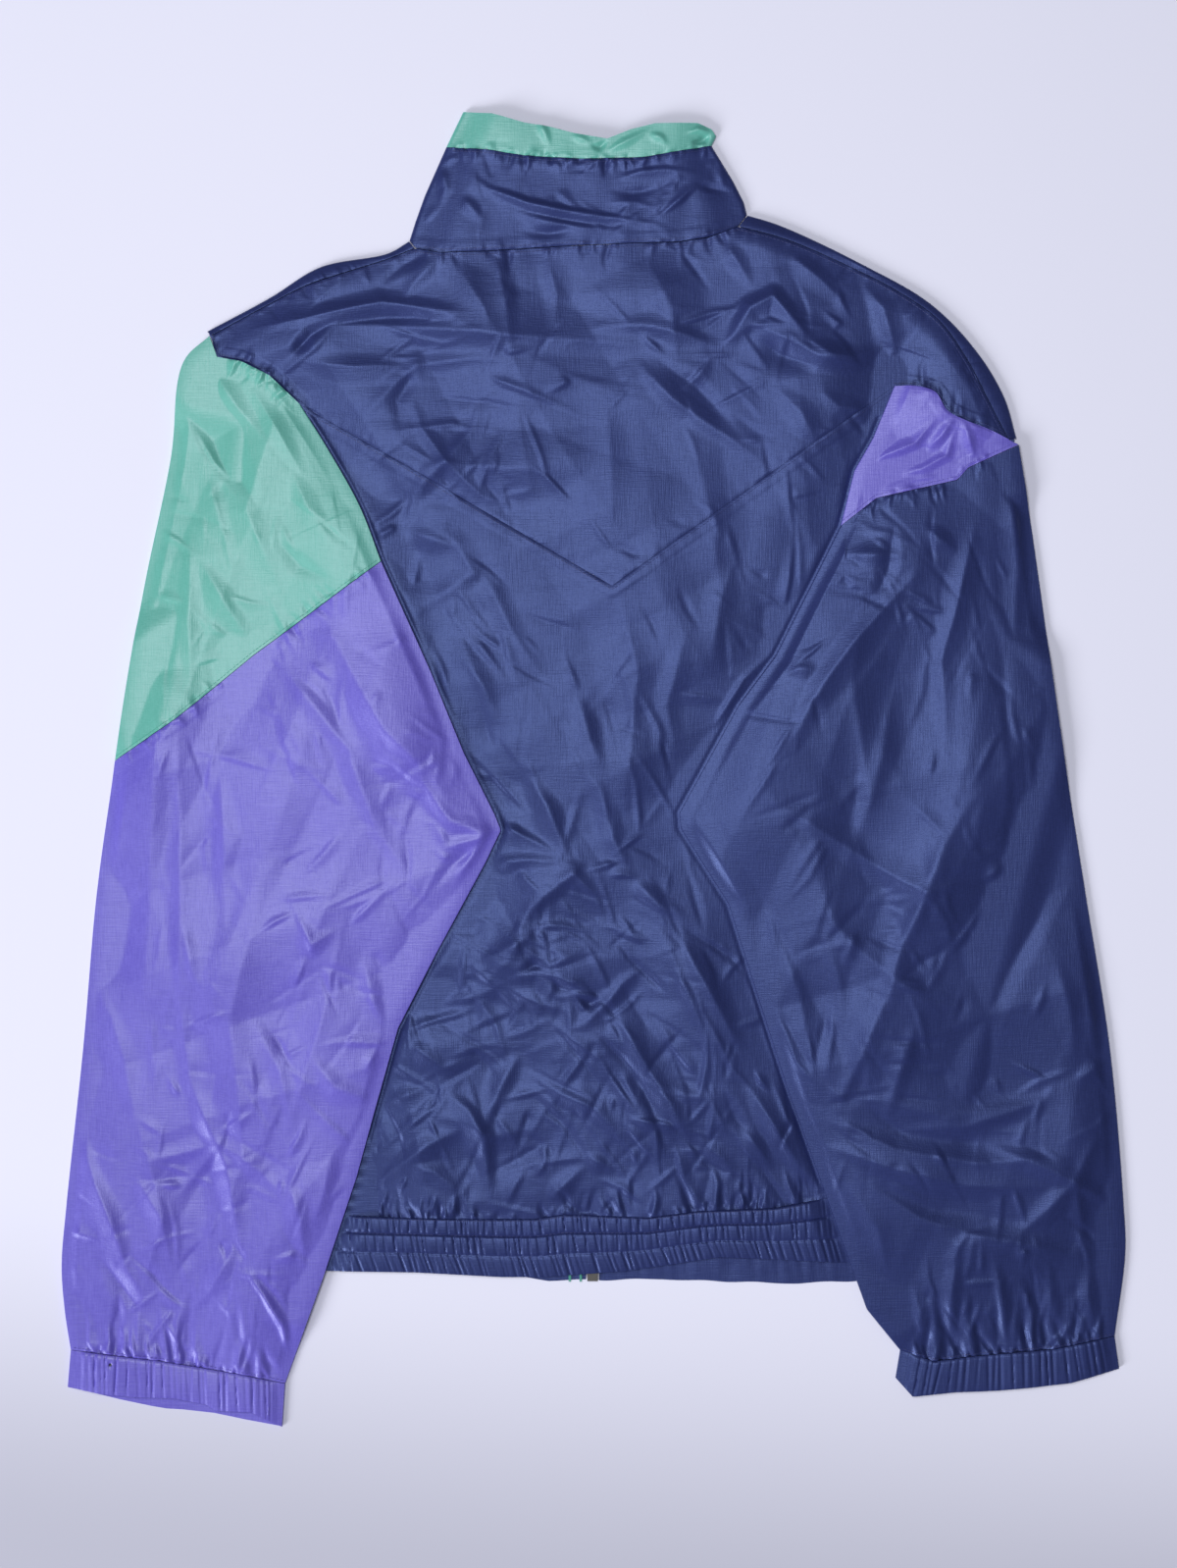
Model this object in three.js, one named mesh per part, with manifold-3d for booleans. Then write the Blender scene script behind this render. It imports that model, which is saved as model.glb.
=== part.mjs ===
// A nylon windbreaker laid face down on a flat surface, its back up, both sleeves lying over the back.
// Millimetres. +X is to the right of someone who looks down at the back, +Y points to the collar and
// +Z up from the surface. Left and right name the wearer's sides, and the left sleeve lies on -X.
import * as THREE from "three";
import { mergeVertices } from "three/addons/utils/BufferGeometryUtils.js";
import Module from "manifold-3d";

// Driving sizes
const wall = 1.5; // cloth wall
const thickestWall = 3; // the wall under a raised fold
const seamGap = 0.3; // between pieces that are sewn to each other
const roomBetween = 3.7; // most room left between two layers that lie on each other
const backUnderside = wall + seamGap; // the back lying flat on the fronts
const flatBack = backUnderside + wall; // top of the back where a sleeve presses it flat
const sleeveOverBody = flatBack + 0.4; // underside of a sleeve where it lies on the body
const bodyLoft = 6.4; // usual height of the back above the surface
const zipX = -0.6; // the zip's middle line
const halfFly = 4.3; // from the zip's middle to the edge of each front
const chainHalf = 2.2;
const neckGap = 1; // between the yoke and the collar, whose sections lie at different places

// Edge lines in plan, shared by the pieces that meet there
const neckSeamBack = line(
  { x: -116, y: 340 },
  { x: -100, y: 337 },
  { x: -69, y: 338 },
  { x: -22, y: 341 },
  { x: 24, y: 343 },
  { x: 55, y: 344 },
  { x: 75, y: 347 },
  { x: 94, y: 354 },
);
const collarSideLeft = line(
  { x: -120, y: 345 },
  { x: -116, y: 358 },
  { x: -110, y: 375 },
  { x: -96, y: 406 },
);
const collarSideRight = line(
  { x: 100, y: 362 },
  { x: 98, y: 371 },
  { x: 91, y: 385 },
  { x: 77, y: 407 },
);
const collarFoot = line(collarSideLeft.points[0], ...neckSeamBack.points, collarSideRight.points[0]);
const collarSeam = line(
  { x: -96, y: 406 },
  { x: -69, y: 404 },
  { x: -44, y: 400 },
  { x: -8, y: 398 },
  { x: 33, y: 399 },
  { x: 55, y: 403 },
  { x: 77, y: 407 },
);
const collarTopEdge = line(
  { x: -85, y: 429 },
  { x: -54, y: 424 },
  { x: -10, y: 415 },
  { x: 9, y: 412 },
  { x: 37, y: 421 },
  { x: 80, y: 420 },
);
const shoulderFoldLeft = smooth(
  { x: -252, y: 286 },
  { x: -211, y: 308 },
  { x: -178, y: 328 },
  { x: -134, y: 337 },
  { x: -122, y: 343 },
);
const shoulderFoldRight = smooth(
  { x: 102, y: 360 },
  { x: 122, y: 355 },
  { x: 175, y: 330 },
  { x: 220, y: 304 },
  { x: 250, y: 273 },
  { x: 268, y: 243 },
  { x: 276, y: 216 },
);
const shoulderSeamLeft = smooth(
  { x: -249, y: 283 },
  { x: -214, y: 302 },
  { x: -186, y: 316 },
  { x: -162, y: 324 },
  { x: -134, y: 333 },
  { x: -116, y: 340 },
);
const shoulderSeamRight = smooth(
  { x: 94, y: 354 },
  { x: 127, y: 345 },
  { x: 169, y: 327 },
  { x: 198, y: 312 },
  { x: 225, y: 293 },
  { x: 243, y: 268 },
  { x: 256, y: 243 },
  { x: 270, y: 216 },
);
const armholeLeft = line(
  { x: -250, y: 283 },
  { x: -245, y: 269 },
  { x: -229, y: 266 },
  { x: -211, y: 257 },
  { x: -191, y: 238 },
);
const armholeRight = line(
  { x: 196, y: 250 },
  { x: 222, y: 246 },
  { x: 232, y: 231 },
  { x: 243, y: 227 },
  { x: 271, y: 215 },
);
const waistSeam = line(
  { x: -184, y: -289 },
  { x: -133, y: -291 },
  { x: -84, y: -292 },
  { x: -38, y: -292 },
  { x: -20, y: -289 },
  { x: 36, y: -291 },
  { x: 68, y: -287 },
  { x: 118, y: -285 },
  { x: 163, y: -277 },
  { x: 187, y: -273 },
);
const hemBack = line(
  { x: -184, y: -326 },
  { x: -116, y: -327 },
  { x: -60, y: -330 },
  { x: -32, y: -330 },
  { x: 22, y: -326 },
  { x: 82, y: -317 },
  { x: 129, y: -319 },
  { x: 187, y: -322 },
);
const hemFront = line(
  { x: -184, y: -324 },
  { x: -106, y: -326 },
  { x: -54, y: -329 },
  { x: -29, y: -333 },
  { x: 45, y: -332 },
  { x: 134, y: -335 },
  { x: 187, y: -332 },
);
const leftSleeveOuter = smooth(
  { x: -250, y: 283 },
  { x: -267, y: 266 },
  { x: -276, y: 202 },
  { x: -292, y: 125 },
  { x: -303, y: 64 },
  { x: -312, y: 6 },
);
const leftSleeveInner = smooth(
  { x: -191, y: 238 },
  { x: -174, y: 211 },
  { x: -152, y: 172 },
  { x: -138, y: 136 },
);
const leftSleeveOuterLow = smooth(
  { x: -312, y: 6 },
  { x: -324, y: -80 },
  { x: -333, y: -182 },
  { x: -344, y: -285 },
  { x: -347, y: -323 },
  { x: -345, y: -352 },
  { x: -341, y: -378 },
);
const leftSleeveInnerLow = line(
  { x: -138, y: 136 },
  { x: -106, y: 65 },
  { x: -84, y: 11 },
  { x: -64, y: -29 },
  { x: -60, y: -39 },
  { x: -70, y: -60 },
  { x: -102, y: -119 },
  { x: -127, y: -168 },
  { x: -142, y: -221 },
  { x: -154, y: -265 },
  { x: -175, y: -328 },
  { x: -201, y: -400 },
);
const colourSeamLeft = line(
  { x: -312, y: 6 },
  { x: -272, y: 33 },
  { x: -221, y: 75 },
  { x: -176, y: 108 },
  { x: -138, y: 136 },
);
const cuffSeamLeft = line(
  { x: -341, y: -378 },
  { x: -282, y: -385 },
  { x: -233, y: -393 },
  { x: -201, y: -400 },
);
const cuffEdgeLeftBack = line(
  { x: -343, y: -402 },
  { x: -322, y: -406 },
  { x: -272, y: -409 },
  { x: -246, y: -415 },
  { x: -223, y: -418 },
  { x: -203, y: -428 },
);
const cuffEdgeLeftFront = line(
  { x: -343, y: -402 },
  { x: -311, y: -410 },
  { x: -272, y: -417 },
  { x: -225, y: -424 },
  { x: -203, y: -428 },
);
const rightBandInner = line({ x: 196, y: 250 }, { x: 182, y: 216 }, { x: 170, y: 195 }, { x: 161, y: 159 });
const rightBandOuter = line({ x: 271, y: 215 }, { x: 277, y: 212 });
const colourSeamRight = line(
  { x: 161, y: 159 },
  { x: 184, y: 177 },
  { x: 237, y: 189 },
  { x: 244, y: 197 },
  { x: 277, y: 212 },
);
const rightSleeveInner = line(
  { x: 161, y: 159 },
  { x: 119, y: 75 },
  { x: 95, y: 43 },
  { x: 56, y: -28 },
  { x: 57, y: -38 },
  { x: 88, y: -87 },
  { x: 100, y: -125 },
  { x: 126, y: -206 },
  { x: 154, y: -284 },
  { x: 178, y: -351 },
  { x: 200, y: -378 },
);
const rightSleeveOuter = smooth(
  { x: 277, y: 212 },
  { x: 285, y: 163 },
  { x: 305, y: 22 },
  { x: 321, y: -80 },
  { x: 337, y: -182 },
  { x: 346, y: -285 },
  { x: 347, y: -314 },
  { x: 340, y: -369 },
);
const cuffSeamRight = line(
  { x: 200, y: -378 },
  { x: 222, y: -385 },
  { x: 244, y: -382 },
  { x: 301, y: -377 },
  { x: 340, y: -369 },
);
const cuffEdgeRight = line(
  { x: 197, y: -396 },
  { x: 208, y: -408 },
  { x: 263, y: -404 },
  { x: 311, y: -399 },
  { x: 343, y: -390 },
);

// The back below the yoke, a row for each section from the left side seam to the right one: where the
// section starts, at the armhole or the yoke seam, and where it ends at the waist
const backSections = [
  { topX: -278, topY: 54, waistX: -184 },
  { topX: -241, topY: 77, waistX: -172 },
  { topX: -213, topY: 118, waistX: -160 },
  { topX: -198, topY: 182, waistX: -150 },
  { topX: -191, topY: 238, waistX: -141 },
  { topX: -118, topY: 196, waistX: -95 },
  { topX: 12, topY: 120, waistX: 8 },
  { topX: 119, topY: 196, waistX: 95 },
  { topX: 196, topY: 250, waistX: 146 },
  { topX: 200, topY: 182, waistX: 155 },
  { topX: 218, topY: 106, waistX: 165 },
  { topX: 243, topY: 61, waistX: 176 },
  { topX: 275, topY: 40, waistX: 187 },
];

// The largest folds, a row for each: a crest from 1 through m to 2, its height, a trough's below zero,
// and how far each flank reaches to the left and right of the crest
const bodyFolds = [
  { x1: -191, y1: 282, xm: -138, ym: 296, x2: -86, y2: 294, height: -1.6, left: 16, right: 16 },
  { x1: -226, y1: 287, xm: -167, ym: 305, x2: -81, y2: 303, height: 1.8, left: 14, right: 14 },
  { x1: -3, y1: 287, xm: 54, ym: 289, x2: 90, y2: 282, height: 1.5, left: 14, right: 14 },
  { x1: 90, y1: 282, xm: 116, ym: 310, x2: 168, y2: 270, height: 2.0, left: 14, right: 14 },
  { x1: 106, y1: 268, xm: 125, ym: 263, x2: 146, y2: 262, height: -1.6, left: 16, right: 16 },
  { x1: 29, y1: 265, xm: 51, ym: 243, x2: 115, y2: 196, height: 1.2, left: 12, right: 12 },
  { x1: -10, y1: 49, xm: -2, ym: 20, x2: 7, y2: -1, height: 1.5, left: 14, right: 14 },
  { x1: -47, y1: 4, xm: -31, ym: -22, x2: -15, y2: -60, height: 1.8, left: 14, right: 14 },
  { x1: -57, y1: -58, xm: -38, ym: -58, x2: -20, y2: -60, height: 1.5, left: 12, right: 12 },
  { x1: -13, y1: -68, xm: -31, ym: -83, x2: -51, y2: -104, height: 1.6, left: 14, right: 14 },
  { x1: -5, y1: 1, xm: 13, ym: -44, x2: 24, y2: -67, height: 1.5, left: 14, right: 14 },
  { x1: 53, y1: -100, xm: 69, ym: -131, x2: 99, y2: -189, height: 1.8, left: 16, right: 14 },
  { x1: 13, y1: -154, xm: 29, ym: -184, x2: 72, y2: -266, height: 2.4, left: 18, right: 16 },
  { x1: 99, y1: -202, xm: 111, ym: -221, x2: 146, y2: -276, height: 2.2, left: 16, right: 16 },
  { x1: -100, y1: -207, xm: -71, ym: -239, x2: -68, y2: -276, height: 2.2, left: 16, right: 16 },
  { x1: -47, y1: -184, xm: -61, ym: -208, x2: -72, y2: -234, height: 1.6, left: 14, right: 14 },
  { x1: -39, y1: -200, xm: 1, ym: -221, x2: 24, y2: -244, height: 1.6, left: 14, right: 14 },
  { x1: -121, y1: -163, xm: -90, ym: -149, x2: -74, y2: -141, height: 1.5, left: 12, right: 14 },
  { x1: -137, y1: -218, xm: -124, ym: -211, x2: -108, y2: -205, height: 1.3, left: 12, right: 12 },
  { x1: -145, y1: -271, xm: -108, ym: -244, x2: -79, y2: -231, height: 1.6, left: 14, right: 14 },
];
const leftSleeveFolds = [
  { x1: -269, y1: 31, xm: -269, ym: -74, x2: -268, y2: -161, height: 1.6, left: 22, right: 14 },
  { x1: -267, y1: -187, xm: -240, ym: -255, x2: -230, y2: -324, height: 1.8, left: 18, right: 16 },
  { x1: -243, y1: 1, xm: -239, ym: -54, x2: -240, y2: -111, height: 1.2, left: 14, right: 14 },
  { x1: -179, y1: 106, xm: -135, ym: 26, x2: -93, y2: -19, height: 1.8, left: 14, right: 26 },
  { x1: -206, y1: 72, xm: -159, ym: 13, x2: -132, y2: -58, height: 1.4, left: 14, right: 20 },
  { x1: -265, y1: 268, xm: -236, ym: 199, x2: -218, y2: 172, height: -1.3, left: 16, right: 16 },
  { x1: -255, y1: 136, xm: -240, ym: 109, x2: -221, y2: 79, height: 1.2, left: 14, right: 14 },
  { x1: -194, y1: -94, xm: -184, ym: -114, x2: -167, y2: -104, height: 1.2, left: 14, right: 14 },
  { x1: -336, y1: -228, xm: -309, ym: -307, x2: -289, y2: -346, height: 1.4, left: 14, right: 18 },
  { x1: -233, y1: -307, xm: -250, ym: -339, x2: -265, y2: -353, height: 1.4, left: 14, right: 14 },
  { x1: -184, y1: -184, xm: -167, ym: -206, x2: -141, y2: -216, height: 1.3, left: 14, right: 14 },
];
const rightSleeveFolds = [
  { x1: 216, y1: -79, xm: 148, ym: -40, x2: 104, y2: -13, height: 1.6, left: 16, right: 20 },
  { x1: 215, y1: 131, xm: 168, ym: 82, x2: 115, y2: -4, height: 1.8, left: 18, right: 14 },
  { x1: 163, y1: 141, xm: 182, ym: 140, x2: 205, y2: 138, height: 1.2, left: 12, right: 12 },
  { x1: 249, y1: 163, xm: 234, ym: 97, x2: 227, y2: 72, height: 1.4, left: 16, right: 16 },
  { x1: 216, y1: -79, xm: 193, ym: -143, x2: 166, y2: -202, height: 1.6, left: 16, right: 16 },
  { x1: 216, y1: -79, xm: 227, ym: -48, x2: 259, y2: -6, height: 1.3, left: 14, right: 14 },
  { x1: 314, y1: -268, xm: 278, ym: -252, x2: 242, y2: -236, height: 1.5, left: 14, right: 14 },
  { x1: 144, y1: -243, xm: 242, ym: -270, x2: 303, y2: -270, height: 1.5, left: 16, right: 14 },
  { x1: 314, y1: -268, xm: 285, ym: -294, x2: 257, y2: -319, height: 1.4, left: 14, right: 14 },
  { x1: 261, y1: -319, xm: 264, ym: -349, x2: 269, y2: -378, height: 1.3, left: 12, right: 12 },
];
const collarFolds = [
  { x1: -83, y1: 389, xm: -44, ym: 369, x2: 40, y2: 356, height: 1.4, left: 11, right: 11 },
  { x1: 69, y1: 383, xm: 54, ym: 371, x2: 41, y2: 358, height: 1.4, left: 9, right: 9 },
];

// Lines in plan: at(s) walks the line by its length as s goes from 0 to 1
function line(...points) {
  const reach = [0];
  for (let i = 1; i < points.length; i++) {
    reach.push(reach[i - 1] + Math.hypot(points[i].x - points[i - 1].x, points[i].y - points[i - 1].y));
  }
  const length = reach[reach.length - 1];
  function at(s) {
    const walked = clamp(s, 0, 1) * length;
    let i = 1;
    while (i < points.length - 1 && reach[i] < walked) i++;
    return mix(points[i - 1], points[i], (walked - reach[i - 1]) / (reach[i] - reach[i - 1]));
  }
  return { points, length, at };
}
function smooth(...points) {
  const places = points.map((p) => new THREE.Vector3(p.x, p.y, 0));
  const spline = new THREE.CatmullRomCurve3(places, false, "centripetal");
  return line(...spline.getSpacedPoints(24).map((p) => ({ x: p.x, y: p.y })));
}
function joined(...lines) {
  return line(...lines.flatMap((each, i) => (i ? each.points.slice(1) : each.points)));
}
function reversed(each) {
  return line(...[...each.points].reverse());
}

// The y of a line that runs from left to right, and the x of one that runs down, at a given x or y
function heightAt(each, x) {
  return crossing(each.points, "x", "y", x);
}
function reachAt(each, y) {
  return crossing(each.points, "y", "x", y);
}
function crossing(points, key, value, wanted) {
  const rising = points[points.length - 1][key] > points[0][key];
  const rows = rising ? points : [...points].reverse();
  let i = 1;
  while (i < rows.length - 1 && rows[i][key] < wanted) i++;
  const share = (wanted - rows[i - 1][key]) / (rows[i][key] - rows[i - 1][key]);
  return THREE.MathUtils.lerp(rows[i - 1][value], rows[i][value], clamp(share, 0, 1));
}
function clamp(value, low, high) {
  return Math.min(high, Math.max(low, value));
}
function mix(a, b, share) {
  return { x: a.x + (b.x - a.x) * share, y: a.y + (b.y - a.y) * share };
}
function rise(from, to, value) {
  return THREE.MathUtils.smoothstep(value, from, to);
}
function distanceTo(points, x, y) {
  let nearest = Infinity;
  for (let i = 1; i < points.length; i++) {
    const a = points[i - 1];
    const b = points[i];
    const run = { x: b.x - a.x, y: b.y - a.y };
    const share = ((x - a.x) * run.x + (y - a.y) * run.y) / (run.x ** 2 + run.y ** 2 || 1);
    const foot = mix(a, b, clamp(share, 0, 1));
    nearest = Math.min(nearest, Math.hypot(x - foot.x, y - foot.y));
  }
  return nearest;
}

// A fold's height at a place: highest along its crest, fading to nothing at its ends and flanks
function foldHeight(fold, x, y) {
  const crest = [
    { x: fold.x1, y: fold.y1 },
    { x: fold.xm, y: fold.ym },
    { x: fold.x2, y: fold.y2 },
  ];
  let best = { away: Infinity, along: 0, side: 0 };
  for (let i = 0; i < 2; i++) {
    const run = { x: crest[i + 1].x - crest[i].x, y: crest[i + 1].y - crest[i].y };
    const share = clamp(
      ((x - crest[i].x) * run.x + (y - crest[i].y) * run.y) / (run.x ** 2 + run.y ** 2),
      0,
      1,
    );
    const foot = mix(crest[i], crest[i + 1], share);
    const away = Math.hypot(x - foot.x, y - foot.y);
    const side = run.x * (y - crest[i].y) - run.y * (x - crest[i].x);
    if (away < best.away) best = { away, along: (i + share) / 2, side };
  }
  const reach = best.side > 0 ? fold.left : fold.right;
  const across = Math.max(0, 1 - best.away / reach);
  return fold.height * across * (0.25 + 0.75 * Math.sin(Math.PI * best.along));
}
function foldsAt(folds, x, y) {
  return folds.reduce((sum, fold) => sum + foldHeight(fold, x, y), 0);
}

// Heights of the body and of the sleeves
const bodyOutline = [
  ...armholeLeft.points,
  ...backSections.slice(0, 4).map((row) => ({ x: row.topX, y: row.topY })).reverse(),
  { x: -184, y: -289 },
  { x: -184, y: -326 },
  { x: 187, y: -334 },
  { x: 187, y: -273 },
  ...backSections.slice(9).map((row) => ({ x: row.topX, y: row.topY })).reverse(),
  { x: 196, y: 250 },
  { x: 270, y: 216 },
];
const leftFoldEdge = joined(leftSleeveInner, leftSleeveInnerLow);
const rightFoldEdge = joined(rightBandInner, rightSleeveInner);

function insideBody(x, y) {
  let inside = false;
  bodyOutline.forEach((a, i) => {
    const b = bodyOutline[(i + 1) % bodyOutline.length];
    if (a.y > y !== b.y > y && x < a.x + ((b.x - a.x) * (y - a.y)) / (b.y - a.y)) inside = !inside;
  });
  return inside;
}
// How far a place lies outside the body, below zero inside it
function outsideBody(x, y) {
  const away = distanceTo([...bodyOutline, bodyOutline[0]], x, y);
  return insideBody(x, y) ? -away : away;
}
// The share of its free height that the back has at a place: none under a sleeve
function openShare(x, y) {
  const underLeft = y < 238 && x < reachAt(leftFoldEdge, y);
  const underRight = y < 250 && x > reachAt(rightFoldEdge, y);
  if (underLeft || underRight) return 0;
  const toSleeve = Math.min(distanceTo(leftFoldEdge.points, x, y), distanceTo(rightFoldEdge.points, x, y));
  return rise(8, 40, toSleeve);
}
function bodyTop(x, y) {
  const toShoulder = Math.min(
    distanceTo(shoulderFoldLeft.points, x, y),
    distanceTo(shoulderFoldRight.points, x, y),
  );
  const shoulder = 0.3 + 0.7 * rise(2, 34, toShoulder);
  const free = bodyLoft - flatBack + foldsAt(bodyFolds, x, y);
  return flatBack + Math.max(0, free) * openShare(x, y) * shoulder;
}
function liftedUnder(top, floor) {
  return Math.max(top - thickestWall, Math.min(top - wall, floor + roomBetween));
}
function sleeveFloor(x, y) {
  return sleeveOverBody * (1 - rise(34, 56, outsideBody(x, y)));
}
function sleeveTop(folds, x, y, toEdge) {
  const lift = sleeveOverBody * (1 - rise(-20, 90, outsideBody(x, y)));
  const free = 2.3 * rise(0, 34, toEdge) + foldsAt(folds, x, y) * rise(2, 24, toEdge);
  return clamp(2 * wall + seamGap + lift + free, sleeveFloor(x, y) + 2 * wall + seamGap, 13);
}

// A closed wall between an outer and an inner grid of points, each a list of rows; a ring's rows close
// on themselves
function wallBetween(outer, inner, ring = false) {
  const rows = outer.length;
  const columns = outer[0].length;
  const places = [...outer.flat(), ...inner.flat()];
  const faces = [];
  const place = (layer, row, column) => layer * rows * columns + row * columns + (column % columns);
  const quad = (a, b, c, d) => faces.push(a, b, c, a, c, d);
  const last = ring ? columns : columns - 1;
  for (let r = 0; r < rows - 1; r++) {
    for (let c = 0; c < last; c++) {
      quad(place(0, r, c), place(0, r, c + 1), place(0, r + 1, c + 1), place(0, r + 1, c));
      quad(place(1, r, c), place(1, r + 1, c), place(1, r + 1, c + 1), place(1, r, c + 1));
    }
  }
  for (let c = 0; c < last; c++) {
    const end = rows - 1;
    quad(place(0, 0, c), place(1, 0, c), place(1, 0, c + 1), place(0, 0, c + 1));
    quad(place(0, end, c), place(0, end, c + 1), place(1, end, c + 1), place(1, end, c));
  }
  for (let r = 0; r < rows - 1 && !ring; r++) {
    const end = columns - 1;
    quad(place(0, r, 0), place(0, r + 1, 0), place(1, r + 1, 0), place(1, r, 0));
    quad(place(0, r, end), place(1, r, end), place(1, r + 1, end), place(0, r + 1, end));
  }
  const geometry = new THREE.BufferGeometry();
  const numbers = places.flatMap((p) => [p.x, p.y, p.z]);
  geometry.setAttribute("position", new THREE.Float32BufferAttribute(numbers, 3));
  geometry.setIndex(volumeOf(places, faces) < 0 ? faces.reverse() : faces);
  return geometry;
}
function volumeOf(places, faces) {
  let sum = 0;
  for (let i = 0; i < faces.length; i += 3) {
    const [a, b, c] = [0, 1, 2].map((k) => places[faces[i + k]]);
    sum += a.x * (b.y * c.z - b.z * c.y) - a.y * (b.x * c.z - b.z * c.x) + a.z * (b.x * c.y - b.y * c.x);
  }
  return sum;
}
function steps(count, from = 0, to = 1) {
  return Array.from({ length: count + 1 }, (_, i) => from + ((to - from) * i) / count);
}

// Stations along a panel that keep the corners of its edge lines
function cornered(count, ...edges) {
  const corners = edges.flatMap((each) => each.points.map((_, i) => shareOf(each, i)));
  const kept = steps(count).filter((s) => corners.every((corner) => Math.abs(corner - s) > 0.4 / count));
  return [...new Set([...kept, ...corners])].sort((a, b) => a - b);
}

// A panel's plan between four edge lines: s runs along its top and bottom lines, t from top to bottom
function between({ top, bottom, left, right }) {
  return (s, t) => {
    const side = mix(left.at(t), right.at(t), s);
    const across = mix(top.at(s), bottom.at(s), t);
    const corners = mix(mix(top.at(0), top.at(1), s), mix(bottom.at(0), bottom.at(1), s), t);
    return { x: side.x + across.x - corners.x, y: side.y + across.y - corners.y };
  };
}

// A panel lying flat or raised: its plan, its stations across and down, its top and its underside
function panel({ plan, across, down, top, under }) {
  const outer = down.map((t) => across.map((s) => ({ ...plan(s, t), s, t })));
  const raised = outer.map((row) => row.map((p) => ({ x: p.x, y: p.y, z: top(p) })));
  const lower = outer.map((row, r) => row.map((p, c) => ({ x: p.x, y: p.y, z: under(p, raised[r][c].z) })));
  return wallBetween(raised, lower);
}

// A flattened tube of cloth, a ring for each step down it: over its top from one fold edge to the
// other, and back along its underside
function tube({ planTop, planUnder, across, acrossUnder, down, top, floor, edgeInset }) {
  const outer = [];
  const inner = [];
  for (const t of down) {
    const first = planTop(0, t);
    const last = planTop(1, t);
    const width = Math.hypot(last.x - first.x, last.y - first.y);
    const inset = edgeInset / width;
    const within = (s) => clamp(s, inset, 1 - inset);
    const ends = [first, last].map((p) => floor(p.x, p.y) + wall + seamGap / 2);
    const hemmed = [planTop(wall / width, t), planTop(1 - wall / width, t)];
    const over = across.map(within).map((s) => ({ ...planTop(s, t), s, t }));
    const below = acrossUnder.map(within).map((s) => planUnder(s, t));
    const tops = over.map((p) => ({ x: p.x, y: p.y, z: top(p, Math.min(p.s, 1 - p.s) * width) }));
    const floors = below.map((p) => ({ x: p.x, y: p.y, z: floor(p.x, p.y) })).reverse();
    outer.push([{ ...first, z: ends[0] }, ...tops, { ...last, z: ends[1] }, ...floors]);
    inner.push([
      { ...hemmed[0], z: ends[0] },
      ...tops.map((p) => ({ ...p, z: liftedUnder(p.z, floor(p.x, p.y) + wall) })),
      { ...hemmed[1], z: ends[1] },
      ...floors.map((p) => ({ ...p, z: p.z + wall })),
    ]);
  }
  return wallBetween(outer, inner, true);
}

// A prism along Y, X or Z of an outline given in its section's own two directions
function prism(outline, length, place, turn = [0, 0, 0], holes = []) {
  const shape = new THREE.Shape(outline.map(([u, v]) => new THREE.Vector2(u, v)));
  shape.holes = holes.map((hole) => new THREE.Path(hole.map(([u, v]) => new THREE.Vector2(u, v))));
  const geometry = new THREE.ExtrudeGeometry(shape, { depth: length, bevelEnabled: false });
  geometry.deleteAttribute("normal");
  geometry.deleteAttribute("uv");
  const placed = new THREE.Matrix4().makeRotationFromEuler(new THREE.Euler(...turn));
  return geometry.applyMatrix4(placed.setPosition(...place));
}

// Solids joined into one
const wasm = await Module();
wasm.setup();
function solid(geometry) {
  const merged = mergeVertices(geometry, 1e-3);
  return new wasm.Manifold(
    new wasm.Mesh({
      numProp: 3,
      vertProperties: merged.attributes.position.array,
      triVerts: new Uint32Array(merged.index.array),
    }),
  );
}
function fused(...geometries) {
  const whole = geometries.map(solid).reduce((sum, each) => sum.add(each));
  const mesh = whole.getMesh();
  const geometry = new THREE.BufferGeometry();
  geometry.setAttribute("position", new THREE.Float32BufferAttribute(mesh.vertProperties, 3));
  geometry.setIndex([...mesh.triVerts]);
  return geometry;
}

const jacket = new THREE.Group();
function addPiece(name, finish, geometry) {
  const piece = new THREE.Mesh(geometry, new THREE.MeshStandardMaterial(finish));
  piece.name = name;
  jacket.add(piece);
}
const navy = { color: 0x3f467c, roughness: 0.5, metalness: 0 };
const green = { color: 0x7bcdb0, roughness: 0.5, metalness: 0 };
const purple = { color: 0x6f60c4, roughness: 0.5, metalness: 0 };
const tape = { color: 0x2f3560, roughness: 0.8, metalness: 0 };
const nickel = { color: 0xb9b9bd, roughness: 0.35, metalness: 1 };

// Back: the yoke down to its V seam, and the back below it down to the waist
function backYoke() {
  const top = joined(shoulderSeamLeft, neckSeamBack, shoulderSeamRight);
  const bottomRows = backSections.slice(4, 9).map((row) => ({ x: row.topX, y: row.topY }));
  const bottom = line(...armholeLeft.points, ...bottomRows.slice(1, -1), ...armholeRight.points);
  const stations = [
    -248,
    ...armholeLeft.points.slice(1).map((p) => p.x),
    ...steps(15, -191, 12).slice(1),
    ...steps(14, 12, 196).slice(1),
    ...armholeRight.points.slice(1, -1).map((p) => p.x),
    257,
    269,
  ];
  const plan = (s, t) => {
    const x = stations[Math.round(s)];
    const atNeck = x > neckSeamBack.points[0].x && x < neckSeamBack.points.at(-1).x;
    const high = heightAt(top, x) - (atNeck ? neckGap : seamGap);
    const low = Math.min(heightAt(bottom, x) + seamGap, high - 2);
    return { x, y: THREE.MathUtils.lerp(high, low, t) };
  };
  return panel({
    plan,
    across: stations.map((_, i) => i),
    down: steps(11),
    top: (p) => bodyTop(p.x, p.y),
    under: (p, z) => liftedUnder(z, wall),
  });
}
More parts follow.
